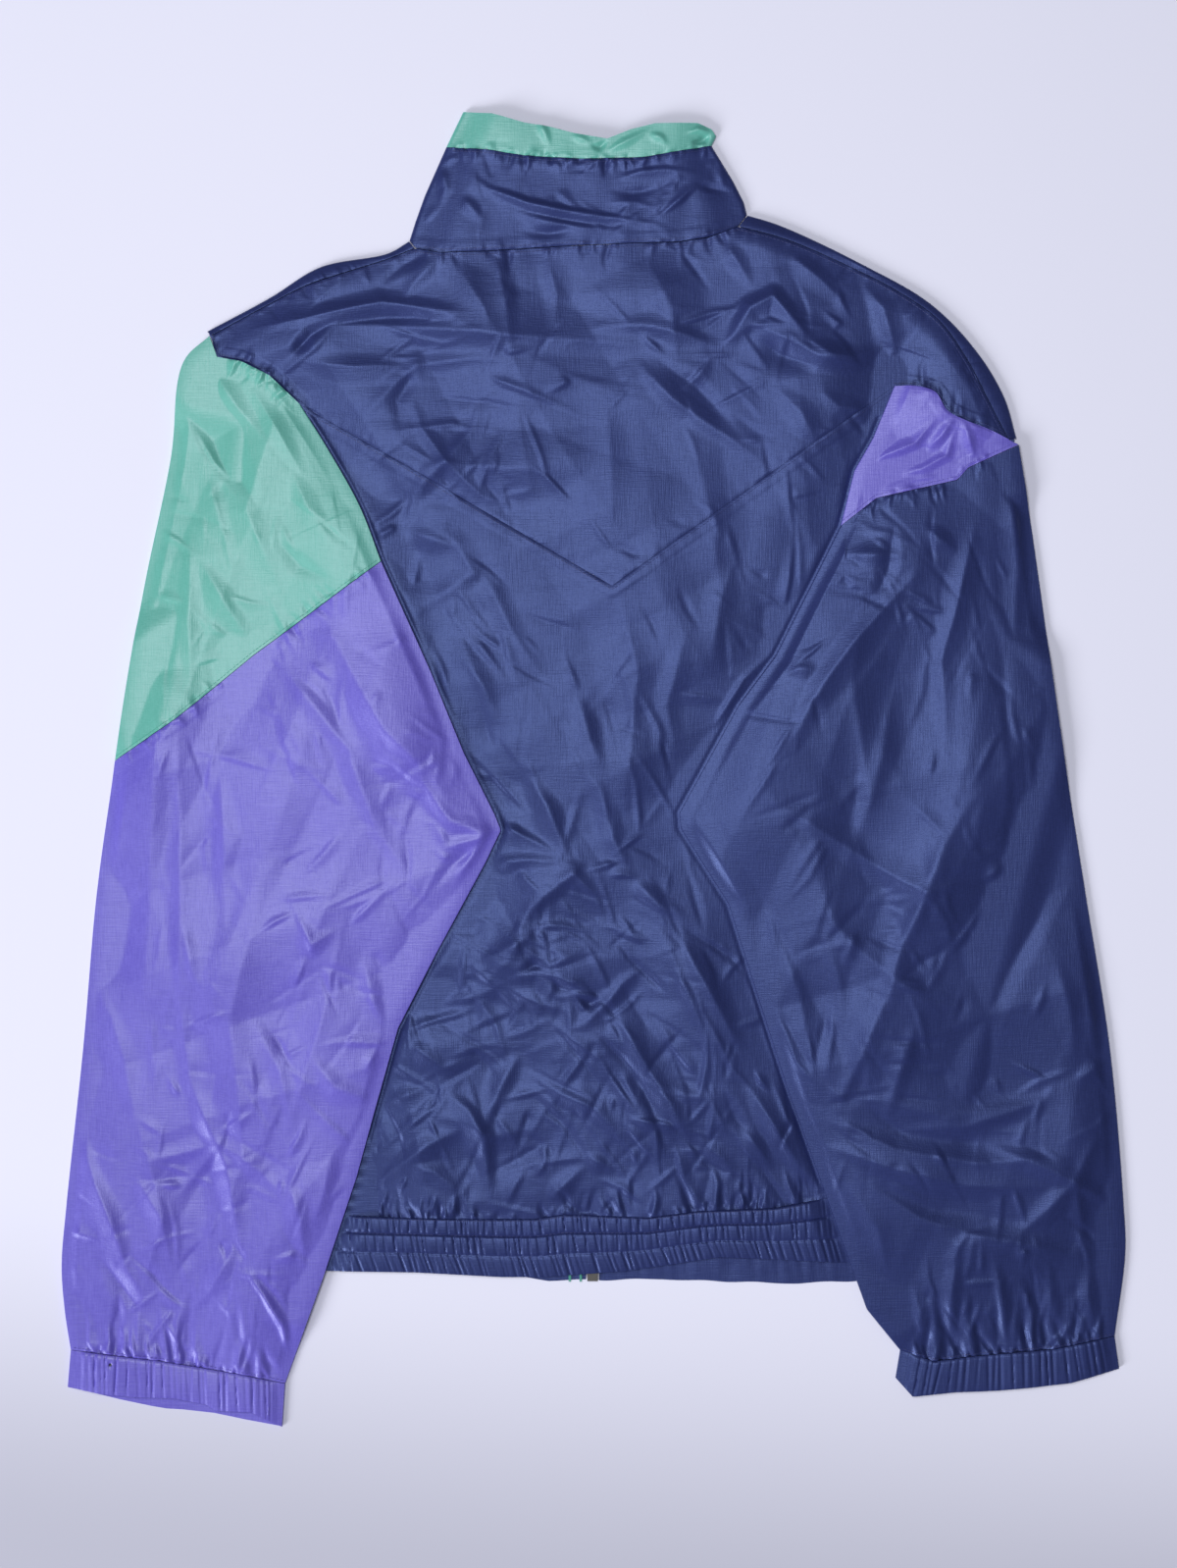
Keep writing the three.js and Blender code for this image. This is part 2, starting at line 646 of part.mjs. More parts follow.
function backBody() {
  const columns = 28;
  const down = steps(22, 0.001, 0.9993);
  const plan = (s, t) => {
    const place = s * (backSections.length - 1);
    const i = Math.min(Math.floor(place), backSections.length - 2);
    const a = backSections[i];
    const b = backSections[i + 1];
    const from = mix({ x: a.topX, y: a.topY }, { x: b.topX, y: b.topY }, place - i);
    const waistX = a.waistX + (b.waistX - a.waistX) * (place - i);
    return mix(from, { x: waistX, y: heightAt(waistSeam, waistX) }, t);
  };
  // Stations lie closer together where the back shows, between the 4th and the 9th section
  const across = steps(columns).map((u) => {
    const rows = backSections.length - 1;
    const shown = { from: 4 / rows, to: 8 / rows };
    if (u < 0.1) return (u / 0.1) * shown.from;
    if (u > 0.9) return shown.to + ((u - 0.9) / 0.1) * (1 - shown.to);
    return shown.from + ((u - 0.1) / 0.8) * (shown.to - shown.from);
  });
  return panel({
    plan,
    across,
    down,
    top: (p) => bodyTop(p.x, p.y),
    under: (p, z) => liftedUnder(z, wall),
  });
}
addPiece("back_yoke", navy, backYoke());
addPiece("back_body", navy, backBody());

// Fronts: flat on the surface, each with the strip that wraps over its shoulder to the shoulder seam
const frontCollarDip = 43; // how far the collar's front half lies lower at the zip than at its sides
const underCollarSteps = 5;
const collarReach = collarSideRight.at(0).x - collarSideLeft.at(0).x;
const frontWaist = { left: -184, right: 187 };
const foldIn = { x: 1.1, y: 1.5 }; // from a shoulder's fold line to the flat front's edge
function collarDip(s) {
  return frontCollarDip * (1 - Math.abs(2 * s - 1) ** 1.6);
}
// The front neck seam, from the zip out to the collar's side fold
function frontNeck(side) {
  const from = (zipX + side * halfFly - collarSideLeft.at(0).x) / collarReach;
  const to = side < 0 ? 0.02 : 0.98;
  return steps(underCollarSteps, from, to).map((s) => {
    const x = collarSideLeft.at(0).x + collarReach * s;
    return { x, y: heightAt(collarFoot, x) - collarDip(s) - seamGap };
  });
}
// A front's outline: up the zip, out along the neck and the shoulder, and down the armhole to the waist
function frontPanel(side) {
  const zipEdge = zipX + side * halfFly;
  const waistX = side < 0 ? frontWaist.left : frontWaist.right;
  const underarm = side < 0 ? backSections.slice(0, 4).reverse() : backSections.slice(9);
  const fold = side < 0 ? reversed(shoulderFoldLeft) : shoulderFoldRight;
  const shoulder = fold.points.filter((_, i) => i % 4 === 0);
  const outline = [
    { x: zipEdge, y: heightAt(waistSeam, zipEdge) + seamGap },
    ...frontNeck(side),
    ...shoulder.map((p) => ({ x: p.x - side * foldIn.x, y: p.y - foldIn.y })),
    ...underarm.map((row) => ({ x: row.topX, y: row.topY })),
    { x: waistX, y: heightAt(waistSeam, waistX) + seamGap },
  ];
  const sheet = prism(outline.map((p) => [p.x, p.y]), wall, [0, 0, 0]);
  return fused(sheet, shoulderStrip(side, fold));
}
function shareOf(each, index) {
  return line(...each.points.slice(0, index + 1)).length / each.length || 0;
}
// The strip over a shoulder in section, a row for each corner: how far in from the fold edge the
// outer and the inner face are, and their heights
const stripTurn = [
  { out: 6, outZ: 0.05, in: 6, inZ: wall - 0.05 },
  { out: 1, outZ: 0.05, in: 2, inZ: wall - 0.05 },
  { out: 0, outZ: 2, in: wall, inZ: 2 },
];
const stripCrest = { out: 0.8, outZ: 4, in: 2, inZ: 2.6 };
const stripRise = 0.2; // the strip's edge over the yoke it is sewn to
function shoulderStrip(side, fold) {
  const seam = side < 0 ? reversed(shoulderSeamLeft) : shoulderSeamRight;
  const outer = [];
  const inner = [];
  for (const s of steps(12, 0.01, 0.985)) {
    const edge = fold.at(s);
    const end = seam.at(s);
    const gap = Math.hypot(end.x - edge.x, end.y - edge.y);
    const inward = { x: (end.x - edge.x) / gap, y: (end.y - edge.y) / gap };
    const from = (d, z) => ({ x: edge.x + inward.x * d, y: edge.y + inward.y * d, z });
    const shown = gap - 2 * seamGap;
    const meet = bodyTop(end.x, end.y) + stripRise;
    outer.push([
      ...stripTurn.map((turn) => from(turn.out, turn.outZ)),
      from(stripCrest.out, stripCrest.outZ),
      from(shown, meet),
    ]);
    inner.push([
      ...stripTurn.map((turn) => from(turn.in, turn.inZ)),
      from(Math.min(stripCrest.in, shown - seamGap), stripCrest.inZ),
      from(shown, meet - wall),
    ]);
  }
  return wallBetween(outer, inner);
}
addPiece("front_left", navy, frontPanel(-1));
addPiece("front_right", navy, frontPanel(1));

// Collar: a stand collar with a strip folded over its top, each a flattened band that is open at the zip
function collarBand({ low, high, sideLeft, sideRight, down, topOf }) {
  const outer = [];
  const inner = [];
  for (const t of down) {
    const first = sideLeft.at(t);
    const last = sideRight.at(t);
    const width = last.x - first.x;
    const place = (s) => {
      const lowX = THREE.MathUtils.lerp(sideLeft.at(0).x, sideRight.at(0).x, s);
      const highX = THREE.MathUtils.lerp(sideLeft.at(1).x, sideRight.at(1).x, s);
      const y = THREE.MathUtils.lerp(heightAt(low, lowX), heightAt(high, highX), t);
      return { x: first.x + width * s, y };
    };
    const zipAt = (side) => (zipX + side * halfFly - first.x) / width;
    const inset = 2.4 / width;
    const over = steps(18, inset, 1 - inset).map((s) => ({ ...place(s), s }));
    const dipped = (s) => ({ ...place(s), y: place(s).y - collarDip(s) });
    const below = [
      steps(underCollarSteps, zipAt(-1), inset).map(dipped),
      steps(underCollarSteps, 1 - inset, zipAt(1)).map(dipped),
    ];
    const edge = { z: wall + seamGap / 2 };
    const tops = over.map((p) => ({ x: p.x, y: p.y, z: topOf(p, Math.min(p.s, 1 - p.s) * width) }));
    const flat = (p, z) => ({ x: p.x, y: p.y, z });
    const hem = wall / width;
    outer.push([
      ...below[0].map((p) => flat(p, 0)),
      { ...place(0), ...edge },
      ...tops,
      { ...place(1), ...edge },
      ...below[1].map((p) => flat(p, 0)),
    ]);
    inner.push([
      ...below[0].map((p) => flat(p, wall)),
      { ...place(hem), ...edge },
      ...tops.map((p) => flat(p, liftedUnder(p.z, wall))),
      { ...place(1 - hem), ...edge },
      ...below[1].map((p) => flat(p, wall)),
    ]);
  }
  return wallBetween(outer, inner);
}
function collarTopAt(p, toEdge) {
  const free = 3.1 * rise(0, 26, toEdge) + foldsAt(collarFolds, p.x, p.y) * rise(2, 20, toEdge);
  return 2 * wall + seamGap + 0.2 + free;
}
const stripSideLeft = line(collarSideLeft.points.at(-1), collarTopEdge.points[0]);
const stripSideRight = line(collarSideRight.points.at(-1), collarTopEdge.points.at(-1));
const collarStand = {
  low: collarFoot,
  high: collarSeam,
  sideLeft: collarSideLeft,
  sideRight: collarSideRight,
  down: steps(5, 0.008, 0.997),
  topOf: collarTopAt,
};
const collarStrip = {
  low: collarSeam,
  high: collarTopEdge,
  sideLeft: stripSideLeft,
  sideRight: stripSideRight,
  down: steps(3, 0.01, 1),
  topOf: collarTopAt,
};
addPiece("collar_stand", navy, collarBand(collarStand));
addPiece("collar_top", green, collarBand(collarStrip));

// Waistband: an elastic band with three channels across the back, gathered between its stitch lines,
// and a flat band on each front
const backGathers = 36;
const gatherHeight = 1.1;
const gatherRows = [
  { t: 0.01, share: 0.55, puff: 0 },
  { t: 0.17, share: 1, puff: 0.9 },
  { t: 0.34, share: 0.5, puff: 0 },
  { t: 0.5, share: 1, puff: 0.8 },
  { t: 0.66, share: 0.5, puff: 0 },
  { t: 0.84, share: 1, puff: 0.5 },
  { t: 1, share: 0.6, puff: -0.2 },
];
function uneven(index) {
  return 0.75 + 0.25 * Math.sin(index * 2.39 + 1.3 * Math.sin(index * 0.7));
}
function waistbandBack() {
  const columns = 2 * backGathers;
  const rowOf = (t) => gatherRows.find((row) => row.t === t);
  const top = ({ x, y, s, t }) => {
    const row = rowOf(t);
    const column = Math.round(s * columns);
    const wave = (column % 2 ? 1 : -1) * gatherHeight * row.share * uneven(column);
    return flatBack + (bodyLoft - 0.4 - flatBack + row.puff + wave) * openShare(x, y);
  };
  const lower = (each, by) => line(...each.points.map((p) => ({ x: p.x, y: p.y + by })));
  return panel({
    plan: between({
      top: lower(waistSeam, -seamGap),
      bottom: hemBack,
      left: line({ x: -184, y: -289.3 }, { x: -184, y: -326 }),
      right: line({ x: 187, y: -273.3 }, { x: 187, y: -322 }),
    }),
    across: steps(columns),
    down: gatherRows.map((row) => row.t),
    top,
    under: (p, z) => liftedUnder(z, wall),
  });
}
function waistbandFront(side) {
  const zipEdge = zipX + side * halfFly;
  const far = side < 0 ? -184 : 187;
  const plan = (s, t) => {
    const x = THREE.MathUtils.lerp(zipEdge, far, s);
    const high = THREE.MathUtils.lerp(heightAt(waistSeam, zipEdge), heightAt(waistSeam, far), s);
    return { x, y: THREE.MathUtils.lerp(high, heightAt(hemFront, x), t) };
  };
  return panel({ plan, across: steps(9), down: steps(1), top: () => wall, under: () => 0 });
}
addPiece("waistband_back", navy, waistbandBack());
addPiece("waistband_front_left", navy, waistbandFront(-1));
addPiece("waistband_front_right", navy, waistbandFront(1));

// Sleeves: flattened tubes that lie on the surface beside the body and on the back over it
const foldInset = 2.2; // from a sleeve's fold edge to the first station on its faces
const leftTop = (p, toEdge) => sleeveTop(leftSleeveFolds, p.x, p.y, toEdge);
const rightTop = (p, toEdge) => sleeveTop(rightSleeveFolds, p.x, p.y, toEdge);
function sleevePiece({ plan, across, acrossUnder, down, top }) {
  return tube({
    planTop: plan,
    planUnder: plan,
    across,
    acrossUnder,
    down,
    top,
    floor: sleeveFloor,
    edgeInset: foldInset,
  });
}
const leftUpperPlan = between({
  top: armholeLeft,
  bottom: colourSeamLeft,
  left: leftSleeveOuter,
  right: leftSleeveInner,
});
const leftLowerPlan = between({
  top: colourSeamLeft,
  bottom: cuffSeamLeft,
  left: leftSleeveOuterLow,
  right: leftSleeveInnerLow,
});
const rightUpperPlan = between({
  top: armholeRight,
  bottom: colourSeamRight,
  left: rightBandInner,
  right: rightBandOuter,
});
const rightLowerPlan = between({
  top: colourSeamRight,
  bottom: cuffSeamRight,
  left: rightSleeveInner,
  right: rightSleeveOuter,
});
const leftSleeve = {
  across: cornered(14, armholeLeft),
  acrossUnder: cornered(9, armholeLeft),
  top: leftTop,
};
const rightSleeve = {
  across: cornered(12, armholeRight, colourSeamRight),
  acrossUnder: cornered(8, armholeRight, colourSeamRight),
  top: rightTop,
};
const leftUpper = { ...leftSleeve, plan: leftUpperPlan, down: steps(11, 0.004, 0.9993) };
const leftLower = { ...leftSleeve, plan: leftLowerPlan, down: steps(19, 0.0004, 0.9996) };
const rightUpper = { ...rightSleeve, plan: rightUpperPlan, down: steps(3, 0.01, 0.985) };
const rightLower = { ...rightSleeve, plan: rightLowerPlan, down: steps(22, 0.0008, 0.9994) };
addPiece("sleeve_left_upper", green, sleevePiece(leftUpper));
addPiece("sleeve_left_lower", purple, sleevePiece(leftLower));
addPiece("sleeve_right_upper", purple, sleevePiece(rightUpper));
addPiece("sleeve_right_lower", navy, sleevePiece(rightLower));

// Cuffs: elastic bands gathered all along their upper side
const cuffGathers = 15;
function cuff({ top, edgeBack, edgeFront, acrossUnder }) {
  const columns = 2 * cuffGathers;
  const sides = { left: line(top.at(0), edgeBack.at(0)), right: line(top.at(1), edgeBack.at(1)) };
  const height = (p, toEdge) => {
    const column = Math.round(p.s * columns);
    const wave = (column % 2 ? 1 : -1) * 0.8 * uneven(column) * rise(0, 12, toEdge);
    return 2 * wall + seamGap + 0.1 + 2.3 * rise(0, 30, toEdge) + wave * (p.t > 0.1 ? 1 : 0.5);
  };
  return tube({
    planTop: between({ top, bottom: edgeBack, ...sides }),
    planUnder: between({ top, bottom: edgeFront, ...sides }),
    across: steps(columns),
    acrossUnder,
    down: [0.02, 0.35, 0.68, 1],
    top: (p, toEdge) => Math.max(height(p, toEdge), 2 * wall + seamGap),
    floor: () => 0,
    edgeInset: foldInset,
  });
}
const leftCuff = { top: cuffSeamLeft, edgeBack: cuffEdgeLeftBack, edgeFront: cuffEdgeLeftFront };
const rightCuff = { top: cuffSeamRight, edgeBack: cuffEdgeRight, edgeFront: cuffEdgeRight };
addPiece("cuff_left", purple, cuff({ ...leftCuff, acrossUnder: leftSleeve.acrossUnder }));
addPiece("cuff_right", navy, cuff({ ...rightCuff, acrossUnder: rightSleeve.acrossUnder }));

// Zip: two tapes on the fronts' inner faces, the closed chain between them with its box at the hem and
// its slider at the collar's top, and the pull tab hinged to the slider, in the fly's gap
const hemY = -325.7; // lower end of the chain
const chain = { half: chainHalf, low: 1.7, high: 3.2, chamfer: 0.5, top: 363.7 };
const tapes = { near: chainHalf + seamGap, far: 14, low: backUnderside, high: 2.8, bottom: hemY, top: 367 };
const box = { half: 3.4, low: 0, high: 3, bottom: -333, top: hemY - seamGap };
const slider = { half: 4, halfPost: 1, bottom: 356, top: 368, lowPlate: 1.4, highPlate: 3.5, high: 4.5 };
const hinge = { y: 354, z: 0.8, pin: 0.3, eye: 0.8, hole: 0.5, earIn: 2.2, earOut: 3.2 };
const tab = { half: 3, neck: 1.9, low: 0.3, high: 1.3, end: 330 };

function block(x, y, z) {
  const outline = [[x[0], y[0]], [x[1], y[0]], [x[1], y[1]], [x[0], y[1]]];
  return prism(outline, z[1] - z[0], [0, 0, z[0]]);
}
function circle(radius, sides, [u, v] = [0, 0]) {
  return steps(sides)
    .slice(1)
    .map((share) => [u + radius * Math.cos(2 * Math.PI * share), v + radius * Math.sin(2 * Math.PI * share)]);
}
const alongX = [Math.PI / 2, Math.PI / 2, 0]; // the section's u is +Y and its v is +Z
function tapeStrip(side) {
  const x = [zipX + side * tapes.near, zipX + side * tapes.far].sort((a, b) => a - b);
  return block(x, [tapes.bottom, tapes.top], [tapes.low, tapes.high]);
}
function zipChain() {
  const { half, low, high, chamfer } = chain;
  const outline = [
    [-half, low + chamfer], [-half + chamfer, low], [half - chamfer, low], [half, low + chamfer],
    [half, high - chamfer], [half - chamfer, high], [-half + chamfer, high], [-half, high - chamfer],
  ];
  return prism(outline, chain.top - hemY, [zipX, chain.top, 0], [Math.PI / 2, 0, 0]);
}
function zipSlider() {
  const x = [zipX - slider.half, zipX + slider.half];
  const y = [slider.bottom, slider.top];
  const ears = [-1, 1].map((side) => {
    const ear = [zipX + side * hinge.earIn, zipX + side * hinge.earOut].sort((a, b) => a - b);
    return block(ear, [hinge.y - hinge.eye, slider.bottom + 0.5], [0.1, 2 * hinge.z - 0.1]);
  });
  const pinLength = 2 * hinge.earIn + 0.6;
  const post = {
    x: [zipX - slider.halfPost, zipX + slider.halfPost],
    y: [chain.top + seamGap, slider.top - 0.5],
    z: [slider.lowPlate - 0.5, slider.highPlate + 0.5],
  };
  return fused(
    block(x, y, [0, slider.lowPlate]),
    block(x, y, [slider.highPlate, slider.high]),
    block(post.x, post.y, post.z),
    ...ears,
    prism(circle(hinge.pin, 8), pinLength, [zipX - pinLength / 2, hinge.y, hinge.z], alongX),
  );
}
function zipPull() {
  const eyeLength = 2 * tab.neck;
  const eyeEnd = [zipX - tab.neck, hinge.y, hinge.z];
  const outline = [
    [zipX - tab.neck, hinge.y - 0.6], [zipX - tab.neck, hinge.y - 6], [zipX - tab.half, hinge.y - 10],
    [zipX - tab.half, tab.end + 2], [zipX - tab.half + 2, tab.end], [zipX + tab.half - 2, tab.end],
    [zipX + tab.half, tab.end + 2], [zipX + tab.half, hinge.y - 10], [zipX + tab.neck, hinge.y - 6],
    [zipX + tab.neck, hinge.y - 0.6],
  ];
  return fused(
    prism(circle(hinge.eye, 12), eyeLength, eyeEnd, alongX, [circle(hinge.hole, 12)]),
    prism(outline, tab.high - tab.low, [0, 0, tab.low]),
  );
}
addPiece("zip_tape_left", tape, tapeStrip(-1));
addPiece("zip_tape_right", tape, tapeStrip(1));
addPiece("zip_chain", tape, zipChain());
const boxSides = [zipX - box.half, zipX + box.half];
addPiece("zip_box", nickel, block(boxSides, [box.bottom, box.top], [box.low, box.high]));
addPiece("zip_slider", nickel, zipSlider());
addPiece("zip_pull", nickel, zipPull());

export default jacket;
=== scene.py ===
# A nylon windbreaker laid face down on a pale surface, its back up and both sleeves over the back.
# Tables and plans are in millimetres, as in the part's source, and the meshes are in metres.
# +X is to the right of someone who looks down at the back, +Y points to the collar and +Z up.
import math

import bpy
import numpy as np
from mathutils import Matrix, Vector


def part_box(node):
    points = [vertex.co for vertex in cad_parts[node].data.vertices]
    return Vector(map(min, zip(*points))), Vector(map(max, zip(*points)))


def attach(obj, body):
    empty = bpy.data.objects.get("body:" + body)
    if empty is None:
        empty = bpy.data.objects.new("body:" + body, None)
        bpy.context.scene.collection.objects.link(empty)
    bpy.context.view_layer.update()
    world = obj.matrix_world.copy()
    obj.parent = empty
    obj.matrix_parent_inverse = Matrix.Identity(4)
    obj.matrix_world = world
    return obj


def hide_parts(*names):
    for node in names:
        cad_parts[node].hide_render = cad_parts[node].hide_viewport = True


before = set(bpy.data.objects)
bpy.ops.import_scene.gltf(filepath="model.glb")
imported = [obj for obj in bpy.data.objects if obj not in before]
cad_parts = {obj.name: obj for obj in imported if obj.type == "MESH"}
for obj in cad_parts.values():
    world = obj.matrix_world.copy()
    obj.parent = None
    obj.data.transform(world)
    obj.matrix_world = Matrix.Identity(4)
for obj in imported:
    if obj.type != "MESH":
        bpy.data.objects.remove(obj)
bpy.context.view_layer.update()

# Back
# Two panels of thin navy nylon taffeta, a yoke cut to a V and the back below it, felled together and
# topstitched. They lie on the fronts, loose in the middle and pressed flat under the sleeves.
MM = 0.001
PITCH = 1.4  # between neighbouring points of a panel
CLOTH = 0.6
SEAM_GAP = 0.3
BACK_UNDERSIDE = 1.8
FLAT_BACK = 3.3
BODY_LOFT = 6.4
SLEEVE_OVER_BODY = 3.7
CRISPNESS = 1.3  # how much higher than noted the folds stand, as the cloth is stiff


def line(*points):
    return np.array(points, float)


def smooth(*points):
    """A centripetal Catmull-Rom curve through the points."""
    given = line(*points)
    given = np.vstack([2 * given[0] - given[1], given, 2 * given[-1] - given[-2]])
    share = np.linspace(0, 1, 16, endpoint=False)[:, None]
    runs = []
    for before, start, end, after in zip(given, given[1:], given[2:], given[3:]):
        t0, t1, t2 = (math.sqrt(math.dist(*pair)) for pair in ((before, start), (start, end), (end, after)))
        leave = ((start - before) / t0 - (end - before) / (t0 + t1) + (end - start) / t1) * t1
        arrive = ((end - start) / t1 - (after - start) / (t1 + t2) + (after - end) / t2) * t1
        sweep = 3 * (end - start) - 2 * leave - arrive
        bend = 2 * (start - end) + leave + arrive
        runs.append(start + leave * share + sweep * share**2 + bend * share**3)
    return np.vstack([*runs, given[-2]])


def along(points, share):
    """x and y of the places at these shares of a line's length."""
    reach = np.concatenate([[0], np.cumsum(np.hypot(*np.diff(points, axis=0).T))])
    reach = reach / reach[-1]
    return np.interp(share, reach, points[:, 0]), np.interp(share, reach, points[:, 1])


def height_at(points, x):
    order = points if points[-1, 0] > points[0, 0] else points[::-1]
    return np.interp(x, order[:, 0], order[:, 1])


def reach_at(points, y):
    return height_at(points[:, ::-1], y)


def rise(low, high, value):
    share = np.clip((value - low) / (high - low), 0, 1)
    return share * share * (3 - 2 * share)


def nearest(points, x, y):
    """How far each place is from a line, how far along it in mm, and which side it is on."""
    away, reached, side = np.full(x.shape, 1e9), np.zeros(x.shape), np.zeros(x.shape)
    walked = 0
    for start, end in zip(points, points[1:]):
        run = end - start
        length = math.hypot(*run)
        share = np.clip(((x - start[0]) * run[0] + (y - start[1]) * run[1]) / length**2, 0, 1)
        dx, dy = x - start[0] - share * run[0], y - start[1] - share * run[1]
        distance = np.hypot(dx, dy)
        closer = distance < away
        away = np.where(closer, distance, away)
        reached = np.where(closer, walked + share * length, reached)
        side = np.where(closer, np.sign(run[0] * dy - run[1] * dx), side)
        walked += length
    return away, reached, side


def sway(x, y, seed, longest, shortest, waves=8):
    """Soft uneven waves between about -1 and 1, of these lengths in mm."""
    random = np.random.default_rng(seed)
    total = 0
    for _ in range(waves):
        angle, phase = random.uniform(0, 2 * math.pi, 2)
        length = random.uniform(shortest, longest)
        total = total + np.sin((x * math.cos(angle) + y * math.sin(angle)) * 2 * math.pi / length + phase)
    return total / (1.5 * math.sqrt(waves))


SHOULDER_FOLD_LEFT = smooth((-252, 286), (-211, 308), (-178, 328), (-134, 337), (-120.1, 344.9))
SHOULDER_FOLD_RIGHT = smooth(
    (100.1, 361.9), (122, 355), (175, 330), (220, 304), (250, 273), (268, 243), (276, 216)
)
SHOULDER_SEAM_LEFT = smooth((-249, 283), (-214, 302), (-186, 316), (-162, 324), (-134, 333), (-116, 340))
SHOULDER_SEAM_RIGHT = smooth(
    (94, 354), (127, 345), (169, 327), (198, 312), (225, 293), (243, 268), (256, 243), (270, 216)
)
NECK_SEAM = line(
    (-116, 340), (-100, 337), (-69, 338), (-22, 341), (24, 343), (55, 344), (75, 347), (94, 354)
)
ARMHOLE_LEFT = line((-250, 283), (-245, 269), (-229, 266), (-211, 257), (-191, 238))
ARMHOLE_RIGHT = smooth((196, 250), (209, 250), (222, 246), (230, 234), (243, 227), (257, 222), (271, 215))
YOKE_SEAM = line((-191, 238), (-118, 196), (12, 120), (119, 196), (196, 250))
WAIST_SEAM = line(
    (-184, -289), (-133, -291), (-84, -292), (-38, -292), (-20, -289), (36, -291), (68, -287), (118, -285),
    (163, -277), (187, -273),
)  # fmt: skip
LEFT_SLEEVE_INNER = np.vstack([
    smooth((-191, 238), (-174, 211), (-152, 172), (-138, 136))[:-1],
    line(
        (-138, 136), (-106, 65), (-84, 11), (-64, -29), (-60, -39), (-70, -60), (-102, -119), (-127, -168),
        (-142, -221), (-154, -265), (-175, -328), (-201, -400),
    ),
])  # fmt: skip
RIGHT_SLEEVE_INNER = line(
    (196, 250), (182, 216), (170, 195), (161, 159), (119, 75), (95, 43), (56, -28), (57, -38), (88, -87),
    (100, -125), (126, -206), (154, -284), (178, -351), (200, -378),
)  # fmt: skip
# The back's sections from its left side seam to its right one: where each starts, at the armhole or
# the yoke seam, and where it ends at the waist
BACK_TOPS = line(
    (-278, 54), (-241, 77), (-213, 118), (-198, 182), (-191, 238), (-118, 196), (12, 120), (119, 196),
    (196, 250), (200, 182), (218, 106), (243, 61), (275, 40),
)  # fmt: skip
BACK_WAIST = line(-184, -172, -160, -150, -141, -95, 8, 95, 146, 155, 165, 176, 187)
BODY_OUTLINE = np.vstack([
    ARMHOLE_LEFT,
    BACK_TOPS[3::-1],
    line((-184, -289), (-184, -326), (187, -334), (187, -273)),
    BACK_TOPS[:8:-1],
    line((196, 250), (270, 216), (-250, 283)),
])  # fmt: skip

